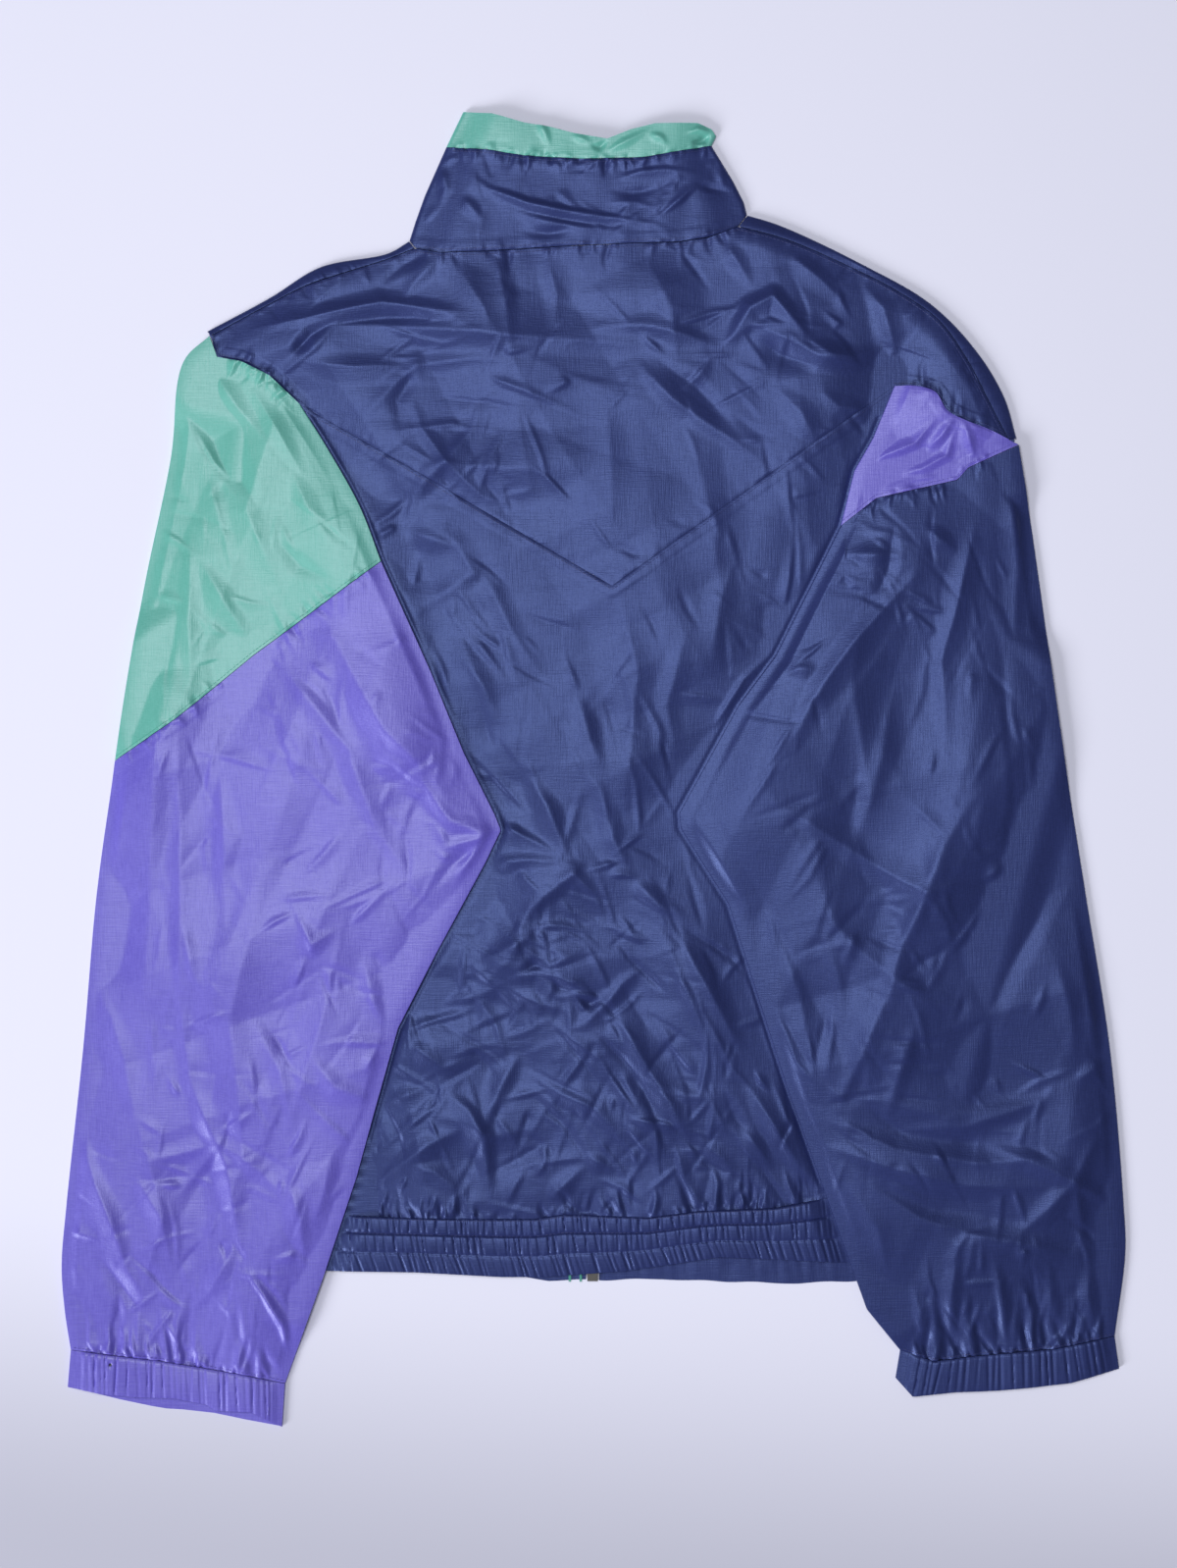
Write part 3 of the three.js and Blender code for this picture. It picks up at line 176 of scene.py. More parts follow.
# Folds: height in mm, below zero for a trough, reach to the left and right of the crest, where along
# the crest it is highest, and the crest
BACK_FOLDS = [
    (2.4, 30, 15, 0.4, [(-222, 268), (-168, 290), (-110, 288), (-40, 282), (40, 276), (84, 274)]),
    (2.0, 26, 14, 0.5, [(76, 274), (104, 290), (146, 270), (190, 262)]),
    (1.6, 24, 30, 0.5, [(-92, 332), (-70, 300), (-64, 262)]),
    (1.5, 26, 22, 0.5, [(34, 332), (52, 300), (54, 262)]),
    (1.5, 30, 22, 0.4, [(-150, 178), (-96, 201), (-44, 196), (20, 214)]),
    (1.3, 24, 26, 0.5, [(64, 214), (78, 160), (84, 110)]),
    (1.5, 22, 28, 0.4, [(-100, 120), (-76, 62), (-50, 10)]),
    (1.4, 26, 20, 0.5, [(10, 100), (26, 40), (20, -30)]),
    (1.6, 24, 18, 0.5, [(-30, -60), (-52, -120), (-96, -160)]),
    (1.6, 22, 28, 0.4, [(40, -96), (66, -150), (96, -196)]),
    (1.7, 26, 18, 0.5, [(-106, -222), (-64, -238), (-20, -230)]),
    (1.6, 20, 26, 0.5, [(20, -176), (38, -226), (52, -270)]),
    (2.2, 10, 9, 0.6, [(-226, 287), (-167, 299), (-138, 304), (-81, 297)]),
    (-1.4, 7, 12, 0.5, [(-191, 280), (-167, 290), (-118, 295), (-86, 291)]),
    (-2.4, 7, 6, 0.3, [(-197, 271), (-183, 284), (-163, 294)]),
    (1.3, 9, 12, 0.5, [(-194, 268), (-155, 262), (-115, 263)]),
    (1.2, 12, 8, 0.0, [(-115, 264), (-80, 268), (-44, 265)]),
    (1.3, 10, 12, 0.0, [(-115, 264), (-142, 238), (-156, 224)]),
    (-1.0, 8, 9, 0.1, [(-118, 258), (-128, 240), (-124, 214)]),
    (1.2, 9, 9, 0.0, [(-96, 201), (-112, 223), (-120, 246)]),
    (1.1, 8, 10, 0.0, [(-96, 201), (-78, 224), (-72, 250)]),
    (1.3, 9, 10, 0.0, [(-96, 201), (-116, 180), (-124, 150)]),
    (1.2, 9, 11, 0.0, [(-96, 201), (-72, 178), (-40, 168)]),
    (1.0, 8, 12, 0.4, [(-123, 157), (-80, 143)]),
    (-1.0, 7, 7, 0.3, [(-106, 338), (-126, 328), (-144, 312)]),
    (0.9, 7, 9, 0.3, [(-100, 334), (-118, 316), (-128, 296)]),
    (1.1, 10, 14, 0.2, [(-64, 336), (-56, 300), (-52, 262)]),
    (0.9, 12, 9, 0.3, [(-30, 338), (-24, 310), (-26, 280)]),
    (1.7, 10, 12, 0.5, [(-3, 287), (33, 289), (60, 284), (86, 276)]),
    (2.6, 9, 14, 0.45, [(83, 276), (92, 284), (102, 301), (116, 308), (128, 294), (144, 277)]),
    (1.9, 10, 14, 0.3, [(140, 279), (153, 271), (168, 269), (193, 276)]),
    (-2.4, 13, 16, 0.5, [(108, 280), (122, 270), (146, 262)]),
    (-1.2, 9, 10, 0.4, [(40, 268), (66, 252), (92, 222)]),
    (1.5, 10, 10, 0.3, [(29, 265), (51, 243), (77, 223), (115, 196)]),
    (1.0, 8, 9, 0.4, [(83, 346), (94, 330), (104, 312)]),
    (1.2, 9, 12, 0.3, [(128, 336), (150, 318), (168, 300)]),
    (1.3, 10, 12, 0.5, [(176, 318), (190, 300), (196, 276), (192, 258)]),
    (1.1, 10, 13, 0.5, [(118, 250), (136, 232), (150, 206)]),
    (0.9, 9, 9, 0.5, [(146, 248), (160, 236), (184, 236)]),
    (0.8, 18, 18, 0.5, [(-52, 250), (-46, 210), (-38, 168)]),
    (0.7, 16, 20, 0.5, [(8, 244), (12, 200), (12, 150)]),
    (0.9, 10, 12, 0.3, [(-75, 134), (-54, 93), (-29, 54)]),
    (1.0, 9, 12, 0.0, [(-78, 128), (-110, 108), (-124, 92)]),
    (0.9, 9, 11, 0.0, [(-78, 128), (-90, 150), (-118, 166)]),
    (0.9, 14, 10, 0.4, [(18, 116), (29, 61), (20, 10)]),
    (0.9, 12, 12, 0.4, [(61, 93), (48, 42), (54, 4)]),
    (0.8, 12, 14, 0.5, [(96, 146), (82, 108), (78, 66)]),
    (0.9, 10, 14, 0.5, [(-96, 88), (-72, 54), (-62, 18)]),
    (1.4, 9, 14, 0.4, [(-10, 49), (-2, 20), (7, -1)]),
    (1.9, 10, 14, 0.5, [(-47, 4), (-31, -22), (-15, -60)]),
    (1.5, 6, 9, 0.0, [(-56, -38), (-38, -47), (-21, -56)]),
    (1.6, 7, 9, 0.0, [(-57, -60), (-38, -59), (-18, -61)]),
    (1.8, 9, 12, 0.0, [(-13, -68), (-31, -83), (-51, -104)]),
    (1.2, 8, 10, 0.0, [(-13, -68), (2, -84), (8, -104)]),
    (1.5, 9, 12, 0.6, [(-5, 1), (6, -14), (13, -44), (24, -67)]),
    (1.5, 10, 14, 0.3, [(27, -72), (43, -88), (63, -96)]),
    (1.2, 8, 10, 0.3, [(-36, -106), (-60, -118), (-84, -128)]),
    (1.9, 14, 10, 0.4, [(53, -100), (69, -131), (99, -189)]),
    (1.5, 9, 9, 0.0, [(10, -149), (-6, -165), (-24, -172)]),
    (1.5, 8, 9, 0.0, [(10, -149), (18, -138), (34, -126)]),
    (2.6, 16, 11, 0.3, [(12, -152), (29, -184), (51, -218), (72, -266)]),
    (-1.6, 8, 9, 0.4, [(22, -188), (38, -218), (50, -250)]),
    (2.5, 16, 11, 0.4, [(99, -202), (111, -221), (146, -276)]),
    (1.5, 9, 11, 0.4, [(96, -231), (117, -260)]),
    (1.8, 9, 13, 0.4, [(-47, -184), (-61, -208), (-72, -234)]),
    (2.4, 9, 15, 0.6, [(-100, -207), (-81, -221), (-71, -239), (-68, -276)]),
    (1.7, 14, 9, 0.4, [(-39, -200), (-20, -212), (1, -221), (24, -244)]),
    (1.3, 8, 9, 0.4, [(-8, -250), (17, -260)]),
    (1.5, 9, 9, 0.7, [(-4, -255), (-16, -266), (-29, -279)]),
    (1.6, 9, 12, 0.9, [(-121, -163), (-90, -149), (-77, -148)]),
    (1.1, 7, 8, 0.0, [(-77, -148), (-62, -140), (-48, -142)]),
    (1.0, 7, 7, 0.0, [(-77, -148), (-70, -164), (-70, -180)]),
    (1.3, 8, 12, 0.4, [(-121, -176), (-108, -186), (-93, -197)]),
    (1.4, 9, 12, 0.5, [(-137, -218), (-108, -205)]),
    (1.7, 9, 13, 0.5, [(-145, -271), (-108, -244), (-79, -231)]),
    (1.1, 8, 10, 0.5, [(-132, -252), (-104, -262), (-84, -278)]),
    (-1.7, 6, 7, 0.5, [(-48, -133), (-38, -127), (-25, -129)]),
    (-1.5, 6, 6, 0.5, [(-27, -134), (-20, -141), (-10, -143)]),
    (-1.3, 5, 6, 0.5, [(-10, -148), (-2, -152), (6, -146)]),
    (1.2, 8, 9, 0.5, [(-60, -140), (-40, -150), (-14, -156)]),
    (1.1, 9, 12, 0.5, [(40, -200), (60, -212), (84, -214)]),
    (1.0, 9, 10, 0.4, [(64, -236), (84, -254), (98, -276)]),
    (1.2, 8, 10, 0.5, [(118, -206), (126, -226), (140, -244)]),
    (-1.1, 7, 9, 0.5, [(84, -206), (92, -226), (104, -240)]),
]
# Where small creases crowd: middle, spread both ways, how many, their direction in degrees and its
# scatter, and their usual length and height
BACK_CREASES = [
    (-60, 262, 80, 34, 26, 20, 40, 30, 0.55),
    (110, 290, 70, 30, 26, -40, 50, 26, 0.6),
    (-110, 190, 30, 40, 22, 60, 40, 26, 0.6),
    (120, 200, 40, 40, 19, -50, 30, 28, 0.5),
    (-60, 60, 50, 50, 22, -55, 30, 28, 0.5),
    (30, 20, 50, 70, 22, -70, 30, 30, 0.5),
    (-30, -80, 44, 40, 34, -50, 50, 26, 0.6),
    (-20, -150, 64, 40, 44, -40, 50, 28, 0.65),
    (-90, -200, 40, 60, 50, 40, 50, 28, 0.75),
    (60, -200, 50, 60, 48, -58, 25, 34, 0.7),
    (0, -250, 110, 26, 56, -75, 45, 24, 0.75),
    (100, 70, 30, 60, 26, -60, 35, 30, 0.6),
]


def small_folds(areas, seed):
    random = np.random.default_rng(seed)
    folds = []
    for x, y, wide, tall, count, direction, scatter, length, height in areas:
        for _ in range(count):
            middle = random.normal((x, y), (wide, tall))
            turn = math.radians(random.normal(direction, scatter))
            half = random.uniform(0.6, 2.6) * length / 2
            reach = np.array([math.cos(turn), math.sin(turn)]) * half
            bow = np.array([-reach[1], reach[0]]) * random.uniform(-0.14, 0.14)
            high = height * random.uniform(0.35, 1.5) * random.choice([1, 1, -0.7])
            flanks = random.permutation([random.uniform(1.3, 2.8), random.uniform(3, 9)])
            crest = [middle - reach, middle + bow, middle + reach]
            folds.append((high, *flanks, random.uniform(0.1, 0.9), crest))
    return folds


def puckers(seam, count, seed, shortest, longest, height, direction):
    """Short folds that run from a gathered seam towards a direction in degrees."""
    random = np.random.default_rng(seed)
    folds = []
    for share in np.sort(random.uniform(0.01, 0.99, count)):
        foot = np.array(along(seam, share))
        turn = math.radians(direction + random.normal(0, 14))
        reach = shortest + (longest - shortest) * random.uniform(0, 1) ** 2.2
        tip = foot + reach * np.array([math.cos(turn), math.sin(turn)])
        side = np.array([-math.sin(turn), math.cos(turn)]) * random.uniform(-0.12, 0.12) * reach
        high = height * random.uniform(0.5, 1.2) * random.choice([1, -1])
        wide = 1.6 + reach * 0.07
        flanks = (wide, wide * random.uniform(0.9, 1.6))
        folds.append((high, *flanks, 0.08, [foot, (foot + tip) / 2 + side, tip]))
    return folds


def relief(folds, x, y):
    """Height of the folds at each place: sharp crests on flanks that ease out."""
    x, y = x + sway(x, y, 3, 120, 50), y + sway(x, y, 4, 120, 50)
    heights = np.zeros((2, 2, *x.shape))  # of the narrow folds and the broad ones, raised and sunk
    for height, left, right, peak, crest in folds:
        crest = np.array(crest, float)
        reach = max(left, right)
        low, high = crest.min(0) - reach, crest.max(0) + reach
        near = (x > low[0]) & (x < high[0]) & (y > low[1]) & (y < high[1])
        if not near.any():
            continue
        away, reached, side = nearest(crest, x[near], y[near])
        share = reached / np.hypot(*np.diff(crest, axis=0).T).sum()
        swell = np.where(share < peak, rise(-0.05, max(peak, 0.01), share), 1 - rise(peak, 1.05, share))
        width = np.where(side > 0, left, right) * (0.45 + 0.55 * swell)
        fall = np.clip(1 - (np.sqrt(away**2 + 0.25) - 0.5) / width, 0, 1) ** 1.5
        heights[int(reach > 20), int(height < 0)][near] += (abs(height) * swell * fall) ** 3
    heights = np.cbrt(heights)
    return CRISPNESS * (heights[:, 0] - heights[:, 1]).sum(0)


def facets(x, y, seed, slope=0.07, longest=150, shortest=50, creases=7):
    """Flat facets between straight crisp creases, a few in each place, as stiff thin cloth crumples."""
    random = np.random.default_rng(seed)
    x, y = x + 5 * sway(x, y, seed, 300, 150), y + 5 * sway(x, y, seed + 1, 300, 150)
    total = np.zeros(x.shape)
    for crease in range(creases):
        angle, start = random.uniform(0, math.pi), random.uniform(0, 1)
        length = random.uniform(shortest, longest)
        turn = (x * math.cos(angle) + y * math.sin(angle)) / length + start
        strong = rise(-0.5, 1.2, sway(x, y, seed + 2 + crease, 500, 260))
        total += slope * length * strong * (np.abs(turn - np.round(turn)) - 0.25)
    return total


def seam_relief(points, x, y, seed, wide=7, raised=1):
    """The groove of a seam, the step over its turned-in cloth, and the puckers its thread pulls."""
    away, reached, side = nearest(points, x, y)
    groove = -0.2 * np.exp(-((away / 0.8) ** 2))
    step = 0.2 * rise(0.4, 1.4, away) * (1 - rise(wide - 1, wide + 1, away)) * (side == raised)
    pull = sway(reached, 0 * reached, seed, 22, 6) * np.exp(-away / 5) * rise(0, 1.6, away)
    return groove + step + 0.35 * pull


def inside(outline, x, y):
    crossed = np.zeros(x.shape, bool)
    for start, end in zip(outline, np.roll(outline, -1, axis=0)):
        if start[1] != end[1]:
            crossing = start[0] + (end[0] - start[0]) * (y - start[1]) / (end[1] - start[1])
            crossed ^= ((start[1] > y) != (end[1] > y)) & (x < crossing)
    return crossed


def outside_body(x, y):
    away = nearest(BODY_OUTLINE, x, y)[0]
    return np.where(inside(BODY_OUTLINE, x, y), -away, away)


def clear_of_sleeves(x, y):
    """How far each place on the back lies from the sleeves, 0 under them."""
    covered = (y < 238) & (x < reach_at(LEFT_SLEEVE_INNER, y))
    covered |= (y < height_at(ARMHOLE_RIGHT, x)) & (x > reach_at(RIGHT_SLEEVE_INNER, y))
    to_sleeve = np.minimum(nearest(LEFT_SLEEVE_INNER, x, y)[0], nearest(RIGHT_SLEEVE_INNER, x, y)[0])
    return np.where(covered, 0, to_sleeve)


BODY_SMALL_FOLDS = [
    *small_folds(BACK_CREASES, 11),
    *puckers(WAIST_SEAM, 130, 12, 5, 34, 1.3, 90),
    *puckers(NECK_SEAM, 34, 13, 4, 22, 0.8, -90),
    *puckers(SHOULDER_SEAM_LEFT, 22, 14, 4, 16, 0.7, -60),
    *puckers(SHOULDER_SEAM_RIGHT, 26, 15, 4, 16, 0.7, -130),
    *puckers(ARMHOLE_LEFT, 10, 16, 4, 18, 0.8, 60),
    *puckers(ARMHOLE_RIGHT, 12, 17, 5, 26, 0.9, 100),
]


LEFT_HELD_UP = line((-174, 211), (-152, 172), (-138, 136), (-106, 65), (-84, 11), (-66, -30))


def held_up(x, y):
    """How far the stiff inner edge of the left sleeve stands up, and the back beside it with it."""
    away, reached, side = nearest(LEFT_HELD_UP, x, y)
    held = 3.2 * rise(0, 60, reached) * (1 - rise(190, 258, reached))
    return held * (1 - np.where(side > 0, rise(0, 26, away), rise(0, 70, away)))


def body_top(x, y):
    to_shoulder = np.minimum(nearest(SHOULDER_FOLD_LEFT, x, y)[0], nearest(SHOULDER_FOLD_RIGHT, x, y)[0])
    edge = 0.3 + 0.7 * rise(1, 20, to_shoulder)
    soft = 0.5 * sway(x, y, 21, 170, 80) + 0.1 * sway(x, y, 22, 50, 24)
    free = relief(BACK_FOLDS + BODY_SMALL_FOLDS, x, y) + soft + facets(x, y, 200)
    sewn = seam_relief(YOKE_SEAM, x, y, 23, raised=-1) + seam_relief(NECK_SEAM, x, y, 24)
    sewn += seam_relief(SHOULDER_SEAM_LEFT, x, y, 25) + seam_relief(SHOULDER_SEAM_RIGHT, x, y, 26)
    sewn += seam_relief(ARMHOLE_LEFT, x, y, 27) + seam_relief(ARMHOLE_RIGHT, x, y, 28)
    clear = clear_of_sleeves(x, y)
    loft = (BODY_LOFT - FLAT_BACK) * rise(1, 46, clear)
    free = (loft + free * rise(0, 7, clear)) * edge + sewn * rise(0, 4, clear)
    tucked = 0.7 * np.exp(-(((clear - 1.3) / 1.1) ** 2)) * (clear > 0) * (y < 230)
    return FLAT_BACK + np.maximum(0, free) + held_up(x, y) - tucked


def spread(corners):
    """Stations at an even pitch that keep the corners."""
    runs = []
    for start, end in zip(corners, corners[1:]):
        count = max(2, math.ceil(abs(end - start) / PITCH) + 1)
        runs.append(np.linspace(start, end, count)[:-1])
    return np.concatenate([*runs, [corners[-1]]])


def kept(count, every=3):
    """The stations of an inner wall, one under every third of the outer wall's."""
    return np.unique(np.append(np.arange(0, count, every), count - 1))


def lowest_near(height, rows, columns, every=3):
    """The lowest outer height round each station of the inner wall."""
    padded = np.pad(height, every, mode="edge")
    shape = (len(rows), len(columns))
    low = np.full(shape, np.inf)
    for down in range(2 * every + 1):
        for across in range(2 * every + 1):
            low = np.minimum(low, padded[np.ix_(rows + down, columns + across)])
    return low


def wall(name, outer, inner, rows, columns, ring=False):
    """A closed thin wall between a fine outer grid and an inner one under some of its rows and columns.

    Both are in mm. The columns of a ring close on themselves.
    """
    height, width = outer.shape[:2]
    count = height * width
    outer_at = np.arange(count).reshape(height, width)
    inner_at = count + np.arange(len(rows) * len(columns)).reshape(len(rows), len(columns))
    columns = list(columns)
    if ring:
        outer_at = np.hstack([outer_at, outer_at[:, :1]])
        inner_at = np.hstack([inner_at, inner_at[:, :1]])
        columns.append(width)

    def quads(at):
        return np.stack([at[:-1, :-1], at[:-1, 1:], at[1:, 1:], at[1:, :-1]], -1).reshape(-1, 4).tolist()

    faces = quads(outer_at) + [face[::-1] for face in quads(inner_at)]
    for row, edge in ((0, 0), (-1, height - 1)):
        for place, (start, end) in enumerate(zip(columns, columns[1:])):
            rim = [*outer_at[edge, start : end + 1], inner_at[row, place + 1], inner_at[row, place]]
            faces.append(rim[::-1] if row == 0 else rim)
    if not ring:
        for column, edge in ((0, 0), (-1, width - 1)):
            for place, (start, end) in enumerate(zip(rows, rows[1:])):
                within = [inner_at[place + 1, column], inner_at[place, column]]
                rim = [*outer_at[start : end + 1, edge], *within]
                faces.append(rim if column == 0 else rim[::-1])
    points = np.vstack([outer.reshape(-1, 3), inner.reshape(-1, 3)]) * MM
    return mesh_object(name, points, faces)


def mesh_object(name, points, faces):
    mesh = bpy.data.meshes.new(name)
    mesh.from_pydata(points.tolist(), [], [list(map(int, face)) for face in faces])
    a, b, c = (points[[face[i] for face in faces]] for i in range(3))
    if (a * np.cross(b, c)).sum() < 0:
        mesh.flip_normals()
    mesh.shade_smooth()
    mesh.set_sharp_from_angle(angle=math.radians(55))
    made = bpy.data.objects.new(name, mesh)
    bpy.context.scene.collection.objects.link(made)
    return made


def panel(name, x, y, top):
    """A panel that lies on others: a fine upper face, and an under face just below its lowest places."""
    rows, columns = kept(x.shape[0]), kept(x.shape[1])
    under = np.maximum(lowest_near(top, rows, columns) - CLOTH, BACK_UNDERSIDE)
    place = np.ix_(rows, columns)
    return wall(name, np.dstack([x, y, top]), np.dstack([x[place], y[place], under]), rows, columns)


class Wire:
    """A socket in a material, so that sums on it are written as Python expressions."""

    def __init__(self, tree, socket=None):
        self.tree, self.socket = tree, socket

    def node(self, kind, values=None, settings=None, out=0):
        """A new node: its settings first, then its inputs' values or links."""
        made = self.tree.nodes.new(kind if "Node" in kind else "ShaderNode" + kind)
        for name, value in (settings or {}).items():
            setattr(made, name, value)
        for name, value in (values or {}).items():
            if isinstance(value, Wire):
                self.tree.links.new(value.socket, made.inputs[name])
            else:
                made.inputs[name].default_value = value
        return Wire(self.tree, made.outputs[out] if made.outputs else None)

    def mixed(self, share, first, second):
        """A colour that goes from the first to the second as the share goes from 0 to 1."""
        return self.node("Mix", {"Factor": share, 6: first, 7: second}, {"data_type": "RGBA"}, out=2)

    def math(self, operation, other):
        return self.node("Math", {0: self, 1: other}, {"operation": operation})

    def __add__(self, other):
        return self.math("ADD", other)

    def __mul__(self, other):
        return self.math("MULTIPLY", other)

    def __sub__(self, other):
        return self.math("SUBTRACT", other)

    def __rsub__(self, other):
        return (self * -1) + other

    __radd__, __rmul__ = __add__, __mul__


def taffeta(name, colour, deep, sheen, hole=None):
    """Thin plain-woven nylon: a silky sheen and fine slubs along both threads. A hole's inside is painted
    near black, as painted shade.
    """
    made = bpy.data.materials.new(name)
    made.use_nodes = True
    made.node_tree.nodes.clear()
    start = Wire(made.node_tree)
    place = start.node("TexCoord", out=3)
    slubs = 0
    for stretch in ((1, 0.05, 1), (0.05, 1, 1)):
        threads = start.node("Mapping", {"Vector": place, "Scale": stretch})
        slubs = slubs + start.node("TexNoise", {"Vector": threads, "Scale": 1400, "Detail": 2})
    lumps = start.node("TexNoise", {"Vector": place, "Scale": 150, "Detail": 3, "Roughness": 0.6})
    height = slubs * 0.2 + lumps * 0.16
    bump = start.node("Bump", {"Strength": 0.6, "Distance": 0.0009, "Height": height})
    cloud = start.node("TexNoise", {"Vector": place, "Scale": 14, "Detail": 3, "Roughness": 0.6})
    shade = start.node("MapRange", {"Value": cloud, "From Min": 0.3, "From Max": 0.7})
    tone = start.mixed(shade * 0.5 + slubs * 1.1 - 0.75, (*deep, 1), (*colour, 1))
    if hole:
        # Painted shade: round the hole the colour goes to near black, for the unlit inside seen through it.
        away = start.node("VectorMath", {0: place, 1: hole}, {"operation": "DISTANCE"}, out=1)
        hole_painted_shade = start.node("MapRange", {"Value": away, "From Min": 1.5 * MM, "From Max": 0.9 * MM})
        tone = start.mixed(hole_painted_shade, tone, (0.006, 0.005, 0.02, 1))
    surface = start.node("BsdfPrincipled", {
        "Base Color": tone,
        "Roughness": cloud * 0.1 + 0.35,
        "Normal": bump,
        "IOR": 1.66,
        "Specular Tint": (*sheen, 1),
    })  # fmt: skip
    start.node("OutputMaterial", {"Surface": surface})
    return made


NAVY = taffeta("navy nylon", (0.024, 0.033, 0.132), (0.016, 0.022, 0.092), (0.33, 0.46, 1.0))


def sewn_in(piece, material, slot, flat, area, rests_on, *nodes):
    """Finishes a cloth piece: its look, and the solid it stands for, which it hides. Its slot, flat cut in
    mm, area in mm2 and the pieces it rests on are not used.
    """
    piece.data.materials.clear()
    piece.data.materials.append(material)
    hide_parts(*nodes)
    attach(piece, "jacket")


THREAD_RADIUS = 0.19
STITCH_LENGTH = 1.9
STITCH_PITCH = 2.7


def stitch_tree():
    """Geometry nodes that lay short stitches at an even pitch along a mesh of edges."""
    tree = bpy.data.node_groups.new("stitches", "GeometryNodeTree")
    tree.interface.new_socket("Geometry", in_out="INPUT", socket_type="NodeSocketGeometry")
    tree.interface.new_socket("Pitch", in_out="INPUT", socket_type="NodeSocketFloat")
    tree.interface.new_socket("Thread", in_out="INPUT", socket_type="NodeSocketMaterial")
    tree.interface.new_socket("Geometry", in_out="OUTPUT", socket_type="NodeSocketGeometry")
    seams, pitch, thread = (Wire(tree).node("NodeGroupInput", out=index) for index in range(3))
    rows = seams.node("GeometryNodeMeshToCurve", {"Mesh": seams})
    places = rows.node("GeometryNodeResampleCurve", {"Curve": rows, "Length": pitch}, {"mode": "LENGTH"})
    sizes = {"Vertices": 5, "Radius": THREAD_RADIUS * MM, "Depth": STITCH_LENGTH * MM}
    bar = rows.node("GeometryNodeMeshCylinder", sizes, {"fill_type": "NGON"})
    direction = rows.node("GeometryNodeInputTangent")
    turned = rows.node("FunctionNodeAlignRotationToVector", {"Vector": direction}, {"axis": "Z"})
    laid = rows.node("GeometryNodeInstanceOnPoints", {"Points": places, "Instance": bar, "Rotation": turned})
    real = rows.node("GeometryNodeRealizeInstances", {"Geometry": laid})
    dyed = rows.node("GeometryNodeSetMaterial", {"Geometry": real, "Material": thread})
    rows.node("NodeGroupOutput", {"Geometry": dyed})
    return tree


def plain(name, colour, roughness, metallic=0.0):
    """A material with one even finish."""
    made = bpy.data.materials.new(name)
    made.use_nodes = True
    look = made.node_tree.nodes["Principled BSDF"].inputs
    look["Base Color"].default_value = (*colour, 1)
    look["Roughness"].default_value = roughness
    look["Metallic"].default_value = metallic
    return made


STITCHES = stitch_tree()
THREADS = {
    "navy_nylon": plain("navy_thread", (0.034, 0.044, 0.165), 0.6),
    "purple_nylon": plain("purple_thread", (0.12, 0.095, 0.47), 0.6),
    "green_nylon": plain("green_thread", (0.07, 0.36, 0.27), 0.6),
}


def apply_nodes(made, tree, values):
    """Applies a node tree to an object, its named inputs set."""
    modifier = made.modifiers.new("nodes", "NODES")
    modifier.node_group = tree
    for item in tree.interface.items_tree:
        if item.in_out == "INPUT" and item.name in values:
            modifier[item.identifier] = values[item.name]
    mesh = bpy.data.meshes.new_from_object(made.evaluated_get(bpy.context.evaluated_depsgraph_get()))
    made.modifiers.remove(modifier)
    made.data = mesh


def beside(points, inset, start=0.004, end=0.996):
    """Places along a line, moved to its left, 1.3 mm apart."""
    length = np.hypot(*np.diff(points, axis=0).T).sum()
    x, y = along(points, np.linspace(start, end, max(3, int(length / 1.3))))
    dx, dy = np.gradient(x), np.gradient(y)
    return x - inset * dy / np.hypot(dx, dy), y + inset * dx / np.hypot(dx, dy)


def topstitched(name, slot, rows):
    """Rows of stitches of one colour, each given as its x, y and z in mm."""
    points, edges = [], []
    for x, y, z in rows:
        edges += [(len(points) + i, len(points) + i + 1) for i in range(len(x) - 1)]
        points += np.column_stack([x, y, z]).tolist()
    mesh = bpy.data.meshes.new(name)
    mesh.from_pydata((np.array(points) * MM).tolist(), edges, [])
    made = bpy.data.objects.new(name, mesh)
    bpy.context.scene.collection.objects.link(made)
    apply_nodes(made, STITCHES, {"Pitch": STITCH_PITCH * MM, "Thread": THREADS[slot]})
    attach(made, "jacket")


def on_top(points, inset, top, **ends):
    """A row of stitches beside a seam, just above the cloth."""
    x, y = beside(points, inset, **ends)
    return x, y, top(x, y) + 0.1


def enclosed(*lines):
    """The area inside edge lines that follow each other, in mm2."""
    x, y = np.vstack(lines).T
    return abs((x * np.roll(y, -1) - y * np.roll(x, -1)).sum()) / 2


def yoke():
    top = np.vstack([SHOULDER_SEAM_LEFT, NECK_SEAM, SHOULDER_SEAM_RIGHT])
    bottom = np.vstack([ARMHOLE_LEFT, YOKE_SEAM[1:-1], ARMHOLE_RIGHT])
    across = spread([-248, -245, -229, -211, -191, 12, 196, 222, 232, 243, 257, 269])
    at_neck = (across > NECK_SEAM[0, 0]) & (across < NECK_SEAM[-1, 0])
    high = height_at(top, across) - np.where(at_neck, 0.4, SEAM_GAP)
    low = np.minimum(height_at(bottom, across) + 0.05, high - 2)
    down = np.linspace(0, 1, 130)[:, None]
    x, y = np.broadcast_arrays(across, high + (low - high) * down)
    return panel("back_yoke_cloth", x, y, body_top(x, y))


